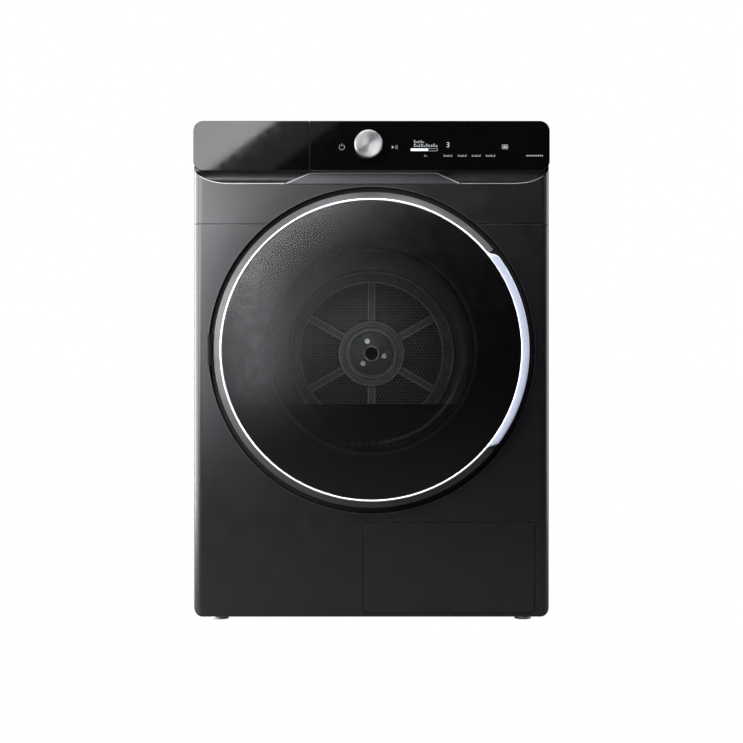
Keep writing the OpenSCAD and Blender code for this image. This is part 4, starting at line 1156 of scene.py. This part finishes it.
def rear_sheet():
    """The rear sheet with its vents, louvres, pressed beads and screws."""
    low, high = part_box("rear_panel")
    obj = add_object("rear_sheet", box_mesh("rear", low, high), "cabinet", "steel_sheet", "rear_panel")
    tools = [prism("tool", vent_sector(a), low.y - PAST, high.y + PAST) for a in (0, 90, 180, 270)]
    tools.append(box_mesh("tool", (-0.226, low.y - PAST, 0.158), (-0.194, high.y + PAST, 0.208)))
    louvres = [200 * MM + 14 * MM * row for row in range(10)]
    tools += [box_mesh("tool", (0.215, low.y - PAST, z), (0.271, high.y + PAST, z + 5 * MM)) for z in louvres]
    for x, z, r in ((-0.250, 0.062, 0.0101), (0.236, 0.074, 0.0101), (-0.265, 0.120, 0.0026), (0.265, 0.120, 0.0026)):
        tools.append(prism("tool", circle(x, z, r), low.y - PAST, high.y + PAST))
    cut(obj, join_meshes("tools", tools))
    dress(obj, REAR_PAINT)
    hoods = []
    for z in louvres:
        hood = mm(REAR_Y, z, (-0.2, 6.6), (-0.2, 5.4), (2.9, 1.2), (3.6, 1.6))
        hoods.append(prism("hood", hood, 0.213, 0.273, "x"))
    dress(add_object("rear_louvres", join_meshes("hoods", hoods), "cabinet", "steel_sheet"), REAR_PAINT)
    beads = []
    for x0, x1, z in ((-0.255, 0.255, 0.770), (-0.255, 0.255, 0.735), (-0.180, 0.180, 0.060), (-0.180, 0.180, 0.095)):
        beads.append(prism("bead", round_box(x0, z - 5 * MM, x1, z + 5 * MM, (4.9 * MM,) * 4, 8),
                           REAR_Y - 0.2 * MM, REAR_Y + 1.6 * MM))
    bead = add_object("rear_beads", join_meshes("beads", beads), "cabinet", "steel_sheet")
    dress(soften(bead, 1.1 * MM, 3, 50), REAR_PAINT)
    heads = [screw_head(x, z) for x in (-0.288, 0.288) for z in (0.045, 0.230, 0.430, 0.630, 0.795)]
    heads += [screw_head(x, 0.803) for x in (-0.150, 0.0, 0.150)]
    heads += [screw_head(x, 0.829) for x in (-0.220, 0.220)]
    add_object("rear_screws", join_meshes("screws", heads), "cabinet", "zinc_steel", material=ZINC, angle=50)


def bottom_flange():
    """The lower front sheet's bottom edge, folded back under the cabinet."""
    add_object("front_bottom_fold", box_mesh("fold", (-0.281, FRONT_Y + SKIN, BOTTOM_Z),
                                             (0.281, -263 * MM, BOTTOM_Z + SKIN)), "cabinet", "graphite_paint",
               material=PAINT)


def upright(mesh, x, y):
    """Stands a mesh turned about Y on end, at a place on the floor."""
    for v in mesh.vertices:
        v.co.x, v.co.y, v.co.z = v.co.x + x, y - v.co.z, v.co.y


def feet():
    """Adjustable feet: a stepped pad and a threaded stud, each turned and then stood on end."""
    top, pitch = 7.9 * MM, 1.5 * MM
    for n in range(1, 5):
        node = "foot_%d" % n
        low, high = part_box(node)
        pad = mm(0, 0, (0, 0), (13.7, 0), (14.5, 0.7), (14.2, 1.8), (13.6, 2.2), (13.4, 3.0), (12.1, 6.8))
        pad = turned("pad", pad + [(11.6 * MM, top), (0, top)], 72, (0, 0), closed=False)
        z = top - 0.2 * MM
        stud = [(0, z)]
        while z < high.z - 2.0 * MM:
            stud += [(4.5 * MM, z), (5.0 * MM, z + 0.75 * MM)]
            z += pitch
        stud += [(4.2 * MM, high.z), (0, high.z)]
        mesh = join_meshes("foot", [pad, turned("stud", stud, 40, (0, 0), closed=False)])
        upright(mesh, (low.x + high.x) / 2, (low.y + high.y) / 2)
        obj = add_object("levelling_" + node, mesh, node, "foot_rubber", node)
        dress(smooth(obj, 40), FOOT)


filter_mesh()
folded_side("side_sheet_left", -1, "side_panel_left")
folded_side("side_sheet_right", 1, "side_panel_right")
top_sheet()
rear_sheet()
bottom_flange()
feet()


# ---------------------------------------------------------------- camera, light and floor
def area_light(name, place, target, size, power, colour=(1, 1, 1), spread=180):
    light = bpy.data.lights.new(name, "AREA")
    light.shape = "RECTANGLE"
    light.size, light.size_y = size
    light.energy = power
    light.color = colour
    light.spread = math.radians(spread)
    obj = link_object(name, light)
    obj.location = place
    obj.rotation_euler = (Vector(target) - obj.location).to_track_quat("-Z", "Y").to_euler()
    return obj


def front_light(name, x, z, distance, *rest):
    """A light in front of the dryer that faces it squarely."""
    return area_light(name, (x, FRONT_Y - distance, z), (x, FRONT_Y, z), *rest)


def seen_instead(tree, shader, bright, output):
    """Lets the camera see one shader where light meets another."""
    ray = tree.nodes.new("ShaderNodeLightPath")
    mix = tree.nodes.new("ShaderNodeMixShader")
    tree.links.new(ray.outputs["Is Camera Ray"], mix.inputs[0])
    tree.links.new(shader.outputs[0], mix.inputs[1])
    tree.links.new(bright.outputs[0], mix.inputs[2])
    tree.links.new(mix.outputs[0], tree.nodes[output].inputs["Surface"])


def studio():
    """Softboxes placed for the photo's reflections, a dim room, and white behind the dryer for the camera alone."""
    scene = bpy.context.scene
    scene.view_settings.view_transform = "Standard"
    world = bpy.data.worlds.new("studio")
    scene.world = world
    world.use_nodes = True
    tree = world.node_tree
    ground = tree.nodes["Background"]
    ground.inputs["Color"].default_value = (0.88, 0.9, 1.0, 1)
    ground.inputs["Strength"].default_value = 0.05
    white = tree.nodes.new("ShaderNodeBackground")
    white.inputs["Color"].default_value = (1, 1, 1, 1)
    white.inputs["Strength"].default_value = 1.0
    seen_instead(tree, ground, white, "World Output")

    key = front_light("key", -1.035, 1.08, 1.30, (2.1, 1.0), 74)
    halo = front_light("halo", -0.31, 0.98, 1.31, (1.0, 0.16), 0.3)
    slant = Matrix.Rotation(math.radians(36.5), 3, "Z")
    for light in (halo, key):
        light.rotation_euler = (Matrix.Rotation(math.pi / 2, 3, "X") @ slant).to_euler()
    front_light("left_soft", -0.50, 0.58, 1.32, (0.18, 0.6), 2.9, (0.92, 0.95, 1.0))
    area_light("front_strip", (0.0, -2.5, 2.65), (0, FRONT_Y, 0.74), (2.4, 0.24), 50)
    area_light("right_strip", (2.1, -1.1, 2.1), (0.1, FRONT_Y, 0.74), (0.3, 1.4), 40)
    area_light("top_strip", (0.0, -0.36, 2.3), (0.0, -0.34, 0), (1.8, 0.35), 40)
    area_light("top_fill", (0.0, 0.2, 3.0), (0, 0, 0.4), (2.5, 2.0), 26)
    area_light("left_wall", (-1.7, -0.1, 0.75), (-0.3, -0.2, 0.5), (2.4, 1.7), 130)
    area_light("right_wall", (1.9, 0.3, 0.7), (0.3, -0.1, 0.5), (1.3, 1.6), 20)
    area_light("drum_lamp", (-0.03, -0.19, CENTRE_Z + 0.05), (0, 0.24, CENTRE_Z), (0.10, 0.10), 0.085, spread=64)
    area_light("back_fill", (0.5, 2.6, 1.6), (0, 0.3, 0.4), (1.6, 1.6), 24)

    edge = 60             # metres to the floor's edge, beyond what any view shows
    corners = [(-edge, -edge, 0), (edge, -edge, 0), (edge, edge, 0), (-edge, edge, 0)]
    floor = link_object("floor", mesh_from("floor", corners, [(0, 1, 2, 3)]))
    m = Shader("floor_paper", Roughness=0.85)
    m.colours(m.noise(0.3, 3.0), 0.11, 0.13)
    bright = m.node("ShaderNodeEmission", Strength=1.0)
    m.link(m.ramp(m.noise(0.6, 2.0), 0.995, 1.0), bright.inputs["Strength"])
    seen_instead(m.tree, m.shader, bright, "Material Output")
    dress(floor, m.material)


def camera():
    """Square on to the front, about as far off as the photographer."""
    distance = 2.6
    data = bpy.data.cameras.new("camera")
    data.sensor_width = 36
    data.lens = 28.79 * distance     # fills the picture as the photo does
    obj = link_object("camera", data)
    obj.location = (0, FRONT_Y - distance, 0.421)
    obj.rotation_euler = (math.radians(90), 0, 0)
    bpy.context.scene.camera = obj


studio()
camera()
